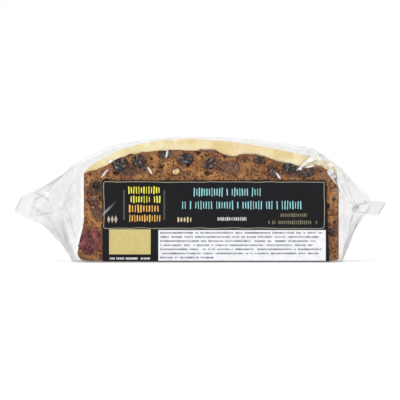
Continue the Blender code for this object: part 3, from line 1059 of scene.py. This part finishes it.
inks = {
    "blue": (0.30, 0.64, 0.68),
    "yellow": (0.78, 0.74, 0.07),
    "orange": (0.80, 0.44, 0.09),
    "beige": (0.62, 0.54, 0.33),
    "white": (0.72, 0.72, 0.73),
    "olive": (0.20, 0.18, 0.11),
    "cream": (0.42, 0.38, 0.28),
    "grey": (0.065, 0.065, 0.060),
    "khaki": (0.575, 0.485, 0.19),
    "paper": (0.80, 0.81, 0.84),
    "text": (0.24, 0.24, 0.27),
}

printPanels = (
    # name, ink, left, right, bottom, top (all mm)
    ("khakiPanel", "khaki", -54.5, -29.6, 4.9, 19.9),
    ("paperPanel", "paper", -25.0, 75.4, 1.1, 19.5),
    ("barLeft", "grey", -46.1, -45.0, 25.5, 43.5),
    ("barRight", "grey", -21.9, -20.9, 25.5, 43.5),
)

framePrint = {
    "left": -57.6 * mm,
    "right": 74.5 * mm,
    "bottom": 20.6 * mm,
    "top": 48.3 * mm,
    "line": 0.32 * mm,
    "corner": 1.1 * mm,
    "wobble": 0.26 * mm,
}

textRows = {
    # in mm
    "first": 17.8, "pitch": 2.47, "left": -24.0, "right": 73.0, "lastRight": 8.0, "rows": 7, "height": 1.15,
    "markPitch": 1.1, "ragged": 1.8,
}


def frameLine(level, finish):
    # the thin hand-drawn line round the label's upper field, with round corners
    look = framePrint
    radius = look["corner"]
    path = []
    for x, z, start in (
        (look["right"] - radius, look["top"] - radius, 0),
        (look["left"] + radius, look["top"] - radius, 90),
        (look["left"] + radius, look["bottom"] + radius, 180),
        (look["right"] - radius, look["bottom"] + radius, 270),
    ):
        turns = [math.radians(start + 15 * k) for k in range(7)]
        path += [(x + radius * math.cos(a), z + radius * math.sin(a)) for a in turns]
    fine = []
    for start, end in zip(path, path[1:] + path[:1]):
        parts = max(1, int(math.dist(start, end) / labelLook["step"]))
        shares = [k / parts for k in range(parts)]
        fine += [(mixed(start[0], end[0], share), mixed(start[1], end[1], share)) for share in shares]
    line = np.array(fine)
    ahead = np.roll(line, -1, axis=0) - np.roll(line, 1, axis=0)
    outward = np.stack([ahead[:, 1], -ahead[:, 0]], axis=1) / np.linalg.norm(ahead, axis=1)[:, None]
    spots = np.stack([line[:, 0], np.zeros(len(line)), line[:, 1]], axis=1)
    sway = latticeNoise(spots, 7 * mm, 5)
    line = line + outward * (look["wobble"] * sway)[:, None]
    depth = labelLook["printDepth"]
    points = []
    for (x, z), (outX, outZ) in zip(line, outward * look["line"] / 2):
        for side, y in ((1, level), (1, level - depth), (-1, level - depth), (-1, level)):
            points.append((x + side * outX, y, z + side * outZ))
    count = len(line)
    faces = []
    for i in range(count):
        j = (i + 1) % count
        faces += [(4 * i + k, 4 * j + k, 4 * j + (k + 1) % 4, 4 * i + (k + 1) % 4) for k in range(4)]
    piece = fromFaces("frameLine", points, faces)
    piece.data.materials.append(finish)
    return piece


def finishPrint(pieces, name, finish):
    # joins the pieces of one ink and lays them on the label
    bm = bmesh.new()
    for piece in pieces:
        bm.from_mesh(piece.data)
    bmesh.ops.recalc_face_normals(bm, faces=bm.faces)
    for face in bm.faces:
        face.material_index = 0
    mesh = closed(bm, bpy.data.meshes.new(name))
    mesh.materials.append(finish)
    joined = addPiece(name, mesh)
    for piece in pieces:
        bpy.data.objects.remove(piece, do_unlink=True)
    bendToLabel(joined)
    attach(joined, "root")


def makePrint():
    finishes = {name: inkFinish(name + "Ink", colour) for name, colour in inks.items()}
    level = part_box("label")[0].y - labelLook["printLift"]
    depth = labelLook["printDepth"]
    tree = printTree()
    byInk = {name: [] for name in inks}
    rows = list(printRows)
    text = textRows
    for i in range(text["rows"]):
        z = text["first"] - text["pitch"] * i
        short = i == text["rows"] - 1
        right = text["lastRight"] if short else text["right"] - text["ragged"] * (i * 5 % 4)
        half = text["height"] / 2
        count = int((right - text["left"]) / text["markPitch"])
        edges = text["left"], right, z - half, z + half
        rows.append((f"textRow{i}", "text", *edges, count, 0.35, 0.1, 1, 0.78, 0.1))
    for i, row in enumerate(rows):
        name, ink, left, right, bottom, top, count, spread, tilt, shapes, filled, gaps = row
        pitch = (right - left) / count * mm
        lift = depth * 1.2 if ink == "text" else 0
        marks = fromFaces(name, [], [])
        applyTree(
            marks,
            tree,
            finish=finishes[ink],
            start=(left * mm + pitch / 2, level - lift, (bottom + top) / 2 * mm),
            count=count,
            pitch=pitch,
            width=pitch * filled,
            height=(top - bottom) * mm,
            depth=depth,
            spread=spread,
            tilt=tilt,
            shapes=shapes,
            firstShape=2 if name == "motif" else 0,
            gaps=gaps,
            seed=10 + 7 * i,
        )
        byInk[ink].append(marks)
    for name, ink, left, right, bottom, top in printPanels:
        corners = (left * mm, right * mm, right * mm, bottom * mm, top * mm)
        byInk[ink].append(thinSheet(name, corners, level - depth, level, finishes[ink]))
    byInk["cream"].append(frameLine(level, finishes["cream"]))
    for name, pieces in byInk.items():
        finishPrint(pieces, name + "Print", finishes[name])
    print("label print:", len(rows), "rows")


# Film

filmLook = {
    "step": 0.9 * mm,
    "sealStep": 0.3 * mm,
    "halfDepth": 20.22 * mm,
    "faceDepth": 19 * mm,
    "crown": {"x": -3.0 * mm, "z": 75.25 * mm, "power": 2.15},
    "foldLeft": {"x": -57.0 * mm, "fall": 6.6 * mm},
    "foldRight": {"x": 68.3 * mm, "fall": 7.2 * mm},
    "floor": 0.45 * mm,
    "sealThick": 0.5 * mm,
    "sealHalf": 22.6 * mm,
    "corner": 1.6 * mm,
    "tuck": 2.0 * mm,
    "tooth": 2.6 * mm,
    "toothDepth": 0.9 * mm,
    "crimpPitch": 1.3 * mm,
    "crimpDepth": 0.16 * mm,
    "clearTint": (0.62, 0.625, 0.64),
    "creaseShadeTint": (0.36, 0.35, 0.35),
    "glintTint": (0.97, 0.97, 0.97),
    "amberReflectionTint": (0.90, 0.76, 0.36),
    # painted shade: soft dark creases in the gathered ends, told the same way as the puckers
    "paintedCreaseShades": (
        ((-77.6, 47.0), (-83.0, 32.6), 0.9, 0.6),
        ((-85.0, 31.0), (-80.5, 13.7), 1.3, 0.7),
        ((-80.5, 13.7), (-75.9, 3.2), 1.3, 0.6),
        ((-80.8, 31.6), (-78.0, 25.9), 0.8, 0.7),
        ((-78.0, 25.9), (-74.6, 15.0), 0.9, 0.6),
        ((-96.0, 31.4), (-91.0, 30.0), 2.2, 0.5),
        ((96.0, 33.6), (101.0, 33.0), 2.2, 0.2),
        ((92.6, 30.0), (86.5, 4.0), 1.2, 0.4),
        ((96.0, 29.0), (90.6, 12.0), 1.0, 0.35),
        ((61.0, 56.6), (70.0, 61.2), 0.5, 1.0),
        ((64.5, 62.9), (71.0, 66.2), 0.45, 0.8),
        ((72.2, 64.6), (75.4, 60.4), 0.5, 0.8),
        ((79.6, 57.4), (84.0, 47.6), 0.5, 0.8),
        ((78.0, 62.0), (83.8, 55.6), 0.4, 0.9),
        ((79.6, 58.8), (81.6, 57.2), 0.5, 0.8),
    ),
    # painted reflection: spots where the film shows the marzipan's yellow a second time
    "ambers": (
        ((79.6, 60.8), (83.4, 56.6), 1.1, 0.8),
        ((66.4, 64.8), (70.8, 62.6), 0.9, 0.7),
        ((72.6, 60.6), (75.8, 57.6), 0.7, 0.5),
    ),
    # painted highlight: broad silvery patches where the film is bunched at the right shoulder
    "glares": (
        ((60.4, 56.4), (66.0, 60.6), 1.3, 1.0),
        ((65.4, 61.0), (69.4, 63.0), 2.5, 0.9),
        ((68.6, 64.6), (72.0, 60.8), 2.4, 0.85),
        ((73.0, 61.6), (78.0, 59.6), 1.9, 0.6),
        ((79.4, 59.4), (82.8, 57.0), 1.7, 0.9),
        ((75.8, 59.4), (82.4, 48.4), 2.2, 0.75),
    ),
    "puckerReach": 1.2,
    # short tight puckers over the slab, raised and painted with a highlight along the ridge: x, z of both
    # ends, half width, strength
    "puckers": (
        ((-19.3, 67.9), (-20.5, 62.6), 0.7, 1.0),
        ((-20.6, 67.6), (-22.4, 68.6), 0.4, 0.7),
        ((-59.0, 51.4), (-55.3, 55.9), 0.66, 1.0),
        ((-54.8, 60.2), (-52.8, 61.4), 1.3, 1.0),
        ((-31.2, 57.2), (-28.8, 53.0), 0.7, 1.0),
        ((45.7, 53.8), (48.4, 50.0), 0.75, 1.0),
        ((58.2, 55.4), (66.4, 62.6), 0.8, 1.0),
        ((62.5, 57.0), (68.4, 58.0), 0.7, 1.0),
        ((69.5, 60.4), (72.4, 58.6), 0.7, 0.7),
        ((78.6, 60.8), (83.2, 56.8), 0.8, 0.9),
        ((75.8, 55.2), (82.2, 46.6), 0.5, 0.9),
        ((-70.7, 54.0), (-70.6, 24.0), 0.7, 1.0),
        ((-70.6, 24.0), (-74.6, 7.0), 0.7, 1.0),
        ((84.1, 44.0), (84.2, 3.0), 0.4, 0.5),
    ),
}

filmEnds = {
    "left": {
        "side": -1, "startX": -76.0, "roof": 59.4, "apexX": -85.0, "apexZ": 31.4, "sealX": -103.5,
        "sealNear": 26.8, "sealFar": 42.4, "tipNear": 30.9, "tipFar": 39.4, "floorPower": 1.6,
    },
    "right": {
        "side": 1, "startX": 85.5, "roof": 55.6, "apexX": 96.3, "apexZ": 33.0, "sealX": 102.5,
        "sealNear": 36.6, "sealFar": 29.0, "tipNear": 35.7, "tipFar": 28.2, "floorPower": 1.3,
    },
}


def filmRoof(x):
    look = filmLook
    crown = look["crown"]
    for fold, end in ((look["foldLeft"], filmEnds["left"]), (look["foldRight"], filmEnds["right"])):
        if (x - fold["x"]) * end["side"] > 0:
            share = (x - fold["x"]) / (end["startX"] * mm - fold["x"])
            return mixed(crown["z"] - fold["fall"], end["roof"] * mm, share)
    fold = look["foldLeft"] if x < crown["x"] else look["foldRight"]
    share = (x - crown["x"]) / (fold["x"] - crown["x"])
    return crown["z"] - fold["fall"] * share ** crown["power"]


def filmSection(x):
    # the film's section at x: for the near and the far side, heights of roof, floor and the two gusset folds
    look = filmLook
    tip = solidsBox[1][0]
    end = filmEnds["left"] if x < 0 else filmEnds["right"]
    startX, sealX = end["startX"] * mm, end["sealX"] * mm
    share = (x - startX) / (sealX - startX)
    half = look["halfDepth"]
    corner = look["corner"]
    if share <= 0:
        roof = filmRoof(x)
        # the folds fan out from the corners a little before the gathered end starts
        lead = min(1.0, -share * abs(sealX - startX) / (22 * mm))
        upper = roof - corner - lead * 0.3 * roof
        lower = corner + lead * 0.3 * roof
        return {"roof": (roof, roof), "floor": (0.0, 0.0), "half": half, "tuck": half,
                "fold": ((upper, lower), (upper, lower)), "corner": corner}
    seal = (end["sealNear"] * mm, end["sealFar"] * mm)
    thick = look["sealThick"]
    if share <= 1:
        apex = (end["apexX"] * mm - startX) / (sealX - startX)
        closing = 1 - (1 - share) ** end["floorPower"]
        roof = [mixed(end["roof"] * mm, z, share) + thick / 2 * share for z in seal]
        floor = [z * closing - thick / 2 * share for z in seal]
        depth = mixed(half, look["sealHalf"], share)
        round_ = mixed(corner, thick / 4, share)
        apexZ = end["apexZ"] * mm
        folds = []
        for at in (0, 1):
            if share <= apex:
                inward = share / apex
                tuck = mixed(half, look["tuck"], inward)
                folds.append((
                    mixed(roof[at] - round_, apexZ + 0.5 * mm, inward),
                    mixed(floor[at] + round_, apexZ - 0.5 * mm, inward),
                ))
            else:
                outward = (share - apex) / (1 - apex)
                tuck = mixed(look["tuck"], look["sealHalf"] - 0.4 * mm, outward)
                middle = mixed(apexZ, seal[at], outward)
                gap = mixed(0.5 * mm, thick / 8, outward)
                folds.append((middle + gap, middle - gap))
        return {"roof": roof, "floor": floor, "half": depth, "tuck": tuck, "fold": folds, "corner": round_}
    share = (x - sealX) / (end["side"] * tip - sealX)
    flat = (mixed(seal[0], end["tipNear"] * mm, share), mixed(seal[1], end["tipFar"] * mm, share))
    return {"roof": [z + thick / 2 for z in flat], "floor": [z - thick / 2 for z in flat],
            "half": look["sealHalf"], "tuck": look["sealHalf"] - 0.4 * mm,
            "fold": [(z + thick / 8, z - thick / 8) for z in flat], "corner": thick / 4}


def filmRing(x, counts):
    # points of one section, from the roof's middle round the near side, the floor and the far side
    part = filmSection(x)
    half, tuck, corner = part["half"], part["tuck"], part["corner"]
    ring = []
    for side, at in ((-1, 0), (1, 1)):
        roof, floor = part["roof"][at], part["floor"][at]
        upper, lower = part["fold"][at]
        middleRoof = sum(part["roof"]) / 2
        middleFloor = sum(part["floor"]) / 2
        stretches = (
            ((0.0, middleRoof), (side * (half - corner), roof), counts["roof"]),
            ((side * (half - corner), roof), (side * half, roof - corner), counts["corner"]),
            ((side * half, roof - corner), (side * tuck, upper), counts["flap"]),
            ((side * tuck, upper), (side * tuck, lower), counts["panel"]),
            ((side * tuck, lower), (side * half, floor + corner), counts["flap"]),
            ((side * half, floor + corner), (side * (half - corner), floor), counts["corner"]),
            ((side * (half - corner), floor), (0.0, middleFloor), counts["roof"]),
        )
        line = []
        for (y0, z0), (y1, z1), count in stretches:
            line += [(mixed(y0, y1, k / count), mixed(z0, z1, k / count)) for k in range(count)]
        ring += line if at == 0 else [(0.0, middleFloor)] + line[:0:-1]
    return [(x, y, z) for y, z in ring]


def foldedSheet(points, size, seed, ways=5):
    # height from 0 to 1 of a sheet crumpled into flat facets: the sum of straight folds in several directions
    random = np.random.default_rng(seed)
    height = np.zeros(len(points))
    for k in range(ways):
        way = random.normal(size=3)
        way /= np.linalg.norm(way)
        pitch = size * random.uniform(0.7, 1.8)
        warp = 0.35 * latticeNoise(points, pitch * 1.5, seed + k)
        along = points @ way / pitch + warp + random.uniform()
        height += np.abs(2 * (along - np.floor(along)) - 1)
    return height / ways


def fanFolds(points, end, seed, count):
    # ridges that run from the seal towards the slab, fanned out like the pleats of a gathered bag
    random = np.random.default_rng(seed)
    startX, sealX = end["startX"] * mm, end["sealX"] * mm
    along = (points[:, 0] - startX) / (sealX - startX)
    height = np.zeros(len(points))
    seam = mixed(end["sealNear"], end["sealFar"], 0.5) * mm
    for k in range(count):
        side = -1 if k % 2 else 1
        sealZ = seam + random.uniform(-7, 7) * mm
        slabZ = random.uniform(0.0, end["roof"]) * mm
        width = random.uniform(0.8, 2.2) * mm
        middle = mixed(slabZ, sealZ, np.clip(along, 0, 1))
        bend = 1.5 * mm * latticeNoise(points * (1, 0, 0) + (0, k * 0.1, 0), 9 * mm, seed + k)
        near = np.exp(-(((points[:, 2] - middle - bend) / width) ** 2))
        reach = smoothly(along, random.uniform(0.0, 0.4), 0.7) * (1 - smoothly(along, 0.9, 1.05))
        height += random.uniform(0.4, 1.0) * near * reach * (points[:, 1] * side > 0)
    return height


def filmFinish():
    look = filmLook
    board, place = startFinish("filmFinish", specularIORLevel=0.6)
    edge = board.add("ShaderNodeLayerWeight", {}, {"Blend": 0.3}, out="Facing")
    crease, glint, amber = (board.painted(name) for name in ("crease", "glint", "amber"))
    grain = board.noise(place, 2.2 * mm)
    rim = edge ** 3.0 * 0.5 * (1 - board.painted("thin"))
    # glint lays a painted highlight, crease a painted shade and amber a painted reflection of the marzipan
    # over the film's grey
    tints = (crease, look["creaseShadeTint"]), (glint, look["glintTint"]), (amber, look["amberReflectionTint"])
    return board.wear(
        baseColor=board.layered(look["clearTint"], *tints),
        metallic=board.kept(0.6 - glint * 0.5 - amber * 0.5),
        roughness=0.08 + grain * 0.1 + glint * 0.2,
        alpha=board.kept(board.painted("haze") + rim),
        normal=board.bump(grain, 0.12 * mm, 0.4),
    )


def crimpTree():
    # ribs pressed across the seals, where the mask on the mesh is 1
    board, ins = startTree("sealCrimp", pitch=1.2 * mm, depth=0.2 * mm)
    x = board.axis(board.add("GeometryNodeInputPosition"), "X")
    wave = board.maths("SINE", x * (2 * math.pi) / ins["pitch"])
    move = board.vector(Z=wave * ins["depth"] * board.read("seal"))
    moved = board.add("GeometryNodeSetPosition", {}, {"Geometry": ins["Geometry"], "Offset": move})
    return endTree(board, moved, ins["finish"])


def filmStations():
    # where the sections stand along X, closer together in the seals
    tip = solidsBox[1][0]
    left, right = filmEnds["left"]["sealX"] * mm, filmEnds["right"]["sealX"] * mm
    look = filmLook
    parts = (
        np.arange(-tip, left, look["sealStep"]),
        np.arange(left, right, look["step"]),
        np.arange(right, tip, look["sealStep"]),
        [tip],
    )
    return np.concatenate(parts)


def makeFilm():
    look = filmLook
    stations = filmStations()
    counts = {"roof": 16, "corner": 3, "flap": 26, "panel": 48}
    rings = np.array([filmRing(x, counts) for x in stations])
    size = rings.shape[1]
    half = size // 2
    # the long folds: the roof's edges, the floor's edges and the two that run in to the gusset
    folds = np.zeros(size)
    spot = 0
    for part in ("roof", "corner", "flap", "panel", "flap", "corner"):
        spot += counts[part]
        folds[[spot, (size - spot) % size]] = 1.0 if part in ("flap", "panel") else 0.6
    crease = np.tile(folds, (len(stations), 1))
    for at, side in ((0, -1), (-1, 1)):
        tooth = np.abs((rings[at, :, 1] / look["tooth"]) % 1.0 - 0.5) * 2
        rings[at, :, 0] -= side * look["toothDepth"] * tooth
    points = rings.reshape(-1, 3)
    faces = []
    for i in range(len(stations) - 1):
        a, b = i * size, (i + 1) * size
        faces += [(a + k, a + (k + 1) % size, b + (k + 1) % size, b + k) for k in range(size)]
    last = (len(stations) - 1) * size
    for base, flip in ((0, False), (last, True)):
        for k in range(half):
            quad = (base + k, base + k + 1, base + size - k - 1, base + (size - k) % size)
            corners = tuple(dict.fromkeys(quad))
            faces.append(corners[::-1] if flip else corners)
    mesh = bpy.data.meshes.new("clearFilm")
    mesh.from_pydata([tuple(point) for point in points], [], faces)
    piece = addPiece("clearFilm", mesh)
    cap = np.zeros(len(points))
    cap[:size] = cap[last:] = 1
    turnOutward(mesh)
    paint(mesh, longFold=crease.ravel(), cap=cap)
    refineWhere(mesh, meetsPucker)
    crinkleFilm(piece)
    applyTree(piece, crimpTree(), finish=filmFinish(), pitch=look["crimpPitch"], depth=look["crimpDepth"])
    piece.data.shade_smooth()
    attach(piece, "root")
    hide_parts("film")
    print("film:", len(piece.data.polygons), "faces")
    return piece


seamLook = {
    "step": 0.45 * mm,
    "width": 9 * mm,
    "rows": 6,
    "gap": 0.08 * mm,
    "thick": 0.2 * mm,
    "pitch": 2.2 * mm,
    "depth": 0.12 * mm,
    "raised": 1.2 * mm,
}


def makeSeam(film):
    # the film's lengthwise seam, folded flat under the base and drawn up with both ends
    look = seamLook
    shape = rayShape(film.data)
    left, right = filmEnds["left"]["sealX"] * mm, filmEnds["right"]["sealX"] * mm
    count = int((right - left) / look["step"])
    rows = look["rows"]
    heights = np.zeros((count + 1, rows + 1))
    for i, k in np.ndindex(heights.shape):
        start = Vector((mixed(left, right, i / count), look["width"] * k / rows, -10 * mm))
        hit = shape.ray_cast(start, Vector((0, 0, 1)))[0]
        heights[i, k] = hit.z if hit else heights[i - 1, k]
    smooth = np.array([heights[max(0, i - 4):i + 5].min(axis=0) for i in range(count + 1)])
    points = []
    for drop, least in ((look["gap"], 0.2 * mm), (look["gap"] + look["thick"], 0.05 * mm)):
        for (i, k), height in np.ndenumerate(smooth):
            z = max(height - drop, least)
            points.append((mixed(left, right, i / count), look["width"] * k / rows, z))
    piece = fromFaces("filmSeam", points, layeredFaces(count, rows))
    turnOutward(piece.data)
    raised = places(piece.data)[:, 2] > look["raised"]
    paint(piece.data, seal=raised, haze=0.06, crease=0.0, glint=0.0, amber=0.0, thin=0.9)
    finish = film.data.materials[0]
    applyTree(piece, crimpTree(), finish=finish, pitch=look["pitch"], depth=look["depth"])
    piece.data.shade_smooth()
    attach(piece, "root")
    print("seam:", len(piece.data.polygons), "faces")


def slabBehind(points):
    # 1 where the slab lies right behind the film as seen along Y, 0 where it is free
    shapes = [rayShape(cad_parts[name].data) for name in ("cake", "marzipan")]
    backed = np.zeros(len(points))
    for i, (x, y, z) in enumerate(points):
        if abs(y) > filmLook["faceDepth"]:
            start, way = Vector((x, 0.1 * np.sign(y), z)), Vector((0, -np.sign(y), 0))
            backed[i] = any(shape.ray_cast(start, way)[0] is not None for shape in shapes)
    return backed


def nearLine(points, start, end):
    # distance and share as fromLine gives them, for a line piece told in mm and seen along Y
    start, end = np.array(start) * mm, np.array(end) * mm
    return fromLine(points[:, [0, 2]], start, end - start)


def nearEnds(x, place, left, right):
    # 0 over the slab and 1 at both ends; left and right say how far out each change starts and stops, in mm
    share = np.zeros(len(x))
    for end, (start, stop) in ((filmEnds["left"], left), (filmEnds["right"], right)):
        outward = end["side"] * (x - end[place] * mm)
        share = np.maximum(share, smoothly(outward, start * mm, stop * mm))
    return share


def looseStreaks(spots, seed):
    # thin puckers strewn over the sides away from the front, near the ends above all
    random = np.random.default_rng(seed)
    height = np.zeros(len(spots))
    low, high = spots.min(axis=0), spots.max(axis=0)
    for k in range(20):
        lean = random.beta(0.6, 0.6)
        start = np.array([mixed(-76 * mm, 88 * mm, lean), random.uniform(low[1], high[1])])
        angle = random.normal(math.pi / 2, 0.7)
        along = random.uniform(4, 13) * mm * np.array([math.cos(angle), math.sin(angle)])
        away, share = fromLine(spots, start, along)
        width = random.uniform(0.4, 0.9) * mm * np.sqrt(np.clip(4 * share * (1 - share), 0.1, 1))
        height = np.maximum(height, random.uniform(0.5, 1.0) * np.exp(-((away / width) ** 2)))
    return height


def meetsPucker(spot):
    # whether a place on the film's front lies in the box round one of the puckers
    if spot.y > -filmLook["faceDepth"]:
        return False
    x, z = spot.x / mm, spot.z / mm
    reach = filmLook["puckerReach"]
    for (startX, startZ), (endX, endZ), *_ in filmLook["puckers"]:
        inX = min(startX, endX) - reach < x < max(startX, endX) + reach
        if inX and min(startZ, endZ) - reach < z < max(startZ, endZ) + reach:
            return True
    return False


def crinkleFilm(piece):
    # moves the film's points along their normals: tight over the slab, crumpled at both gathered ends;
    # longFold is 1 on the folds that run lengthwise and cap is 1 on the film's two outermost edges
    look = filmLook
    stored = piece.data.attributes
    longFolds, cap = (collect(stored[name].data, "value", 1)[:, 0] for name in ("longFold", "cap"))
    points = places(piece.data)
    normals = collect(piece.data.vertices, "normal", 3)
    left, right = filmEnds["left"], filmEnds["right"]
    x = points[:, 0]
    faceDepth = look["faceDepth"]
    endShare = nearEnds(x, "startX", (-4, 6), (-5, 4))
    sealShare = nearEnds(x, "sealX", (-5, 0), (-3, 0))
    inSeal = nearEnds(x, "sealX", (0, 0.6), (0, 0.6))
    loose = endShare * (1 - sealShare)
    free = 1 - slabBehind(points)
    coarse = foldedSheet(points, 13 * mm, 21)
    fine = foldedSheet(points, 4.2 * mm, 34)
    shoulder = np.zeros(len(points))
    for sx, sz, reach in ((65, 64, 7), (80, 55, 8), (84, 42, 5), (73, 63, 6)):
        away = (x - sx * mm) ** 2 + (points[:, 2] - sz * mm) ** 2
        shoulder = np.maximum(shoulder, np.exp(-away / (reach * mm) ** 2))
    fans = fanFolds(points, left, 5, 26) + fanFolds(points, right, 9, 26)
    inFront = points[:, 1] < -faceDepth
    # painted highlight: glint whitens the film and makes it more opaque along the puckers, the glares, the
    # shoulder's crumples, the loose streaks and the fans
    glint = np.zeros(len(points))
    pucker = np.zeros(len(points))
    for start, end, half, strength in look["puckers"]:
        reach, share = nearLine(points, start, end)
        width = half * mm * np.sqrt(np.clip(4 * share * (1 - share), 0.15, 1))
        ridge = np.exp(-((reach / width) ** 2)) * inFront
        pucker = np.maximum(pucker, strength * ridge)
        glint = np.maximum(glint, strength * smoothly(ridge, 0.3, 0.8))
    facets = smoothly(foldedSheet(points, 3.2 * mm, 91, 3), 0.35, 0.62)
    for start, end, half, strength in look["glares"]:
        reach = nearLine(points, start, end)[0] + 0.5 * mm * latticeNoise(points, 2 * mm, 66)
        patch = (1 - smoothly(reach, 0.5 * half * mm, half * mm)) * inFront
        glint = np.maximum(glint, strength * patch * (0.45 + 0.65 * facets))
    fineShine = smoothly(latticeNoise(points, 2.4 * mm, 40) + 0.6 * (fine - 0.5), 0.15, 0.6)
    glint = np.maximum(glint, 0.85 * shoulder * fineShine * smoothly(shoulder, 0.3, 0.7))
    for ways, seed in (((0, 2), 51), ((0, 1), 52)):
        hidden = points[:, 1] > faceDepth if ways == (0, 2) else points[:, 2] > 50 * mm
        streaks = looseStreaks(points[:, list(ways)], seed) * hidden * (1 - endShare)
        pucker = np.maximum(pucker, 0.8 * streaks)
        glint = np.maximum(glint, 0.45 * smoothly(streaks, 0.3, 1.0))
    glint = np.maximum(glint, 0.3 * loose * smoothly(np.clip(fans, 0, 1), 0.5, 0.95))
    move = loose * (1.6 * mm * (coarse - 0.5) + 0.6 * mm * (fine - 0.5) + 0.9 * mm * fans)
    move += shoulder * (1 - sealShare) * 1.3 * mm * fine ** 2
    drape = smoothly(foldedSheet(points, 34 * mm, 77, 4), 0.55, 0.85)
    move += (1 - endShare) * (0.12 * mm * fine + 0.35 * mm * pucker + 0.3 * mm * drape * (1 - inFront))
    points += normals * move[:, None]
    points[:, 2] = np.maximum(points[:, 2], look["floor"])
    movePoints(piece.data, points)
    sharp = smoothly(np.abs(fine - 0.5), 0.15, 0.27)
    # painted shade: the film is greyer along the long folds and the sharp facets of the ends and shoulder
    crease = np.clip(loose * (0.4 * longFolds + 0.25 * sharp) + 0.4 * shoulder * sharp, 0, 1)
    onTop = (np.abs(points[:, 1]) < faceDepth) & (points[:, 2] > 40 * mm)
    haze = 0.012 + free * (0.12 - 0.09 * onTop) * (1 - endShare) + loose * (0.092 + 0.07 * sharp)
    haze += loose * 0.14 * longFolds + shoulder * (0.05 + 0.12 * sharp)
    haze += sealShare * (0.18 + 0.2 * (x > 0)) + loose * 0.05 * (1 - (x > 0) * (points[:, 2] > 28 * mm))
    haze += 0.05 * drape * (1 - inFront) * (1 - endShare)
    # painted shade: soft dark lines, which also take the glint away
    for start, end, half, strength in look["paintedCreaseShades"]:
        reach = nearLine(points, start, end)[0]
        soft = strength * np.exp(-((reach / (half * mm)) ** 2)) * (points[:, 1] < 0)
        haze += 0.3 * soft
        crease = np.maximum(crease, soft)
        glint *= 1 - 0.85 * soft
    # painted reflection of the marzipan's yellow at the right shoulder
    amber = np.zeros(len(points))
    for start, end, half, strength in look["ambers"]:
        reach = nearLine(points, start, end)[0] + 0.5 * mm * latticeNoise(points, 1.8 * mm, 71)
        amber = np.maximum(amber, strength * (1 - smoothly(reach, 0.3 * half * mm, half * mm)) * inFront)
    haze = np.maximum(haze, 0.8 * np.maximum(glint, amber))
    # painted highlight: the seals are lightened too
    glint = np.maximum(glint, 0.35 * inSeal)
    haze *= 1 - 0.9 * cap
    pocket = np.zeros(len(points))
    for end in (left, right):
        gather = (end["sealX"], (end["sealNear"] + end["sealFar"]) / 2)
        reach = nearLine(points, (end["apexX"], end["apexZ"]), gather)[0]
        pocket = np.maximum(pocket, np.exp(-((reach / (8.5 * mm)) ** 2)))
    haze *= 1 - (0.25 + 0.25 * (x > 0)) * pocket * (1 - inSeal)
    crease *= 1 - 0.6 * pocket * smoothly(-x, 86 * mm, 92 * mm)
    thin = np.maximum(np.maximum(0.85 * inSeal, cap), pocket)
    paint(piece.data, thin=thin, amber=amber, haze=haze, crease=crease, glint=glint, seal=inSeal)


# Floor, light and camera

stageLook = {
    "cameraReach": 1.12,
    "cameraHeight": 0.0375,
    "lens": 165.0,
    "floorSize": 12.0,
    "roomSoft": 0.8,
    "roomDim": 0.25,
    "roomTop": 1.2,
}


def aimAt(obj, target):
    obj.rotation_euler = (Vector(target) - obj.location).to_track_quat("-Z", "Y").to_euler()


def addLight(name, place, target, size, power, tall=None):
    data = bpy.data.lights.new(name, "AREA")
    data.energy = power
    data.size = size
    if tall is not None:
        data.shape = "RECTANGLE"
        data.size_y = tall
    lamp = bpy.data.objects.new(name, data)
    lamp.location = place
    aimAt(lamp, target)
    bpy.context.scene.collection.objects.link(lamp)


def makeStage():
    look = stageLook
    scene = bpy.context.scene
    half = look["floorSize"] / 2
    corners = [(-half, -half, 0), (half, -half, 0), (half, half, 0), (-half, half, 0)]
    floor = fromFaces("floor", corners, [(0, 1, 2, 3)])
    glow = {"emissionColor": (1.0, 1.0, 1.0, 1.0), "emissionStrength": 0.22}
    pale = (0.96, 0.96, 0.96, 1.0)
    floorBoard = startFinish("floorFinish", roughness=0.7, specularIORLevel=0.1, baseColor=pale, **glow)[0]
    floor.data.materials.append(floorBoard.finish)
    world = bpy.data.worlds.new("studio")
    scene.world = world
    world.use_nodes = True
    board = Board(world.node_tree)
    sky = world.node_tree.nodes["Background"]
    seen = board.add("ShaderNodeLightPath", out="Is Camera Ray")
    glossy = seen.also("Is Glossy Ray")
    height = board.axis(board.add("ShaderNodeTexCoord", out="Generated"), "Z")
    # gloss mirrors a room that is dim at the height of the eye and bright overhead
    room = look["roomDim"] + board.step(height, 0.15, 0.8) * look["roomTop"]
    soft = look["roomSoft"]
    sky.inputs["Color"].default_value = (1.0, 1.0, 1.0, 1.0)
    board.feed(sky.inputs["Strength"], soft + seen * (1.0 - soft) + glossy * (room - soft))
    middle = (0, 0, 0.035)
    addLight("keySoft", (-0.5, -0.7, 0.75), middle, 0.16, 2.8)
    addLight("fillSoft", (0.75, -0.6, 0.5), middle, 0.12, 1.4)
    addLight("stripLeft", (-0.6, -0.5, 0.12), middle, 0.05, 0.5, 0.4)
    camera = bpy.data.cameras.new("camera")
    camera.lens = look["lens"]
    camera.clip_start = 0.01
    view = bpy.data.objects.new("camera", camera)
    view.location = (0, -look["cameraReach"], look["cameraHeight"])
    aimAt(view, (0, 0, look["cameraHeight"]))
    scene.collection.objects.link(view)
    scene.camera = view
    scene.view_settings.view_transform = "Standard"
    scene.cycles.transparent_max_bounces = 32
    print("stage set")


crumb = makeCake()
makeMarzipan()
fruitFinishes = makeFruit()
makeBits(crumb, fruitFinishes)
makeLabelSheet()
makePrint()
makeSeam(makeFilm())
makeStage()
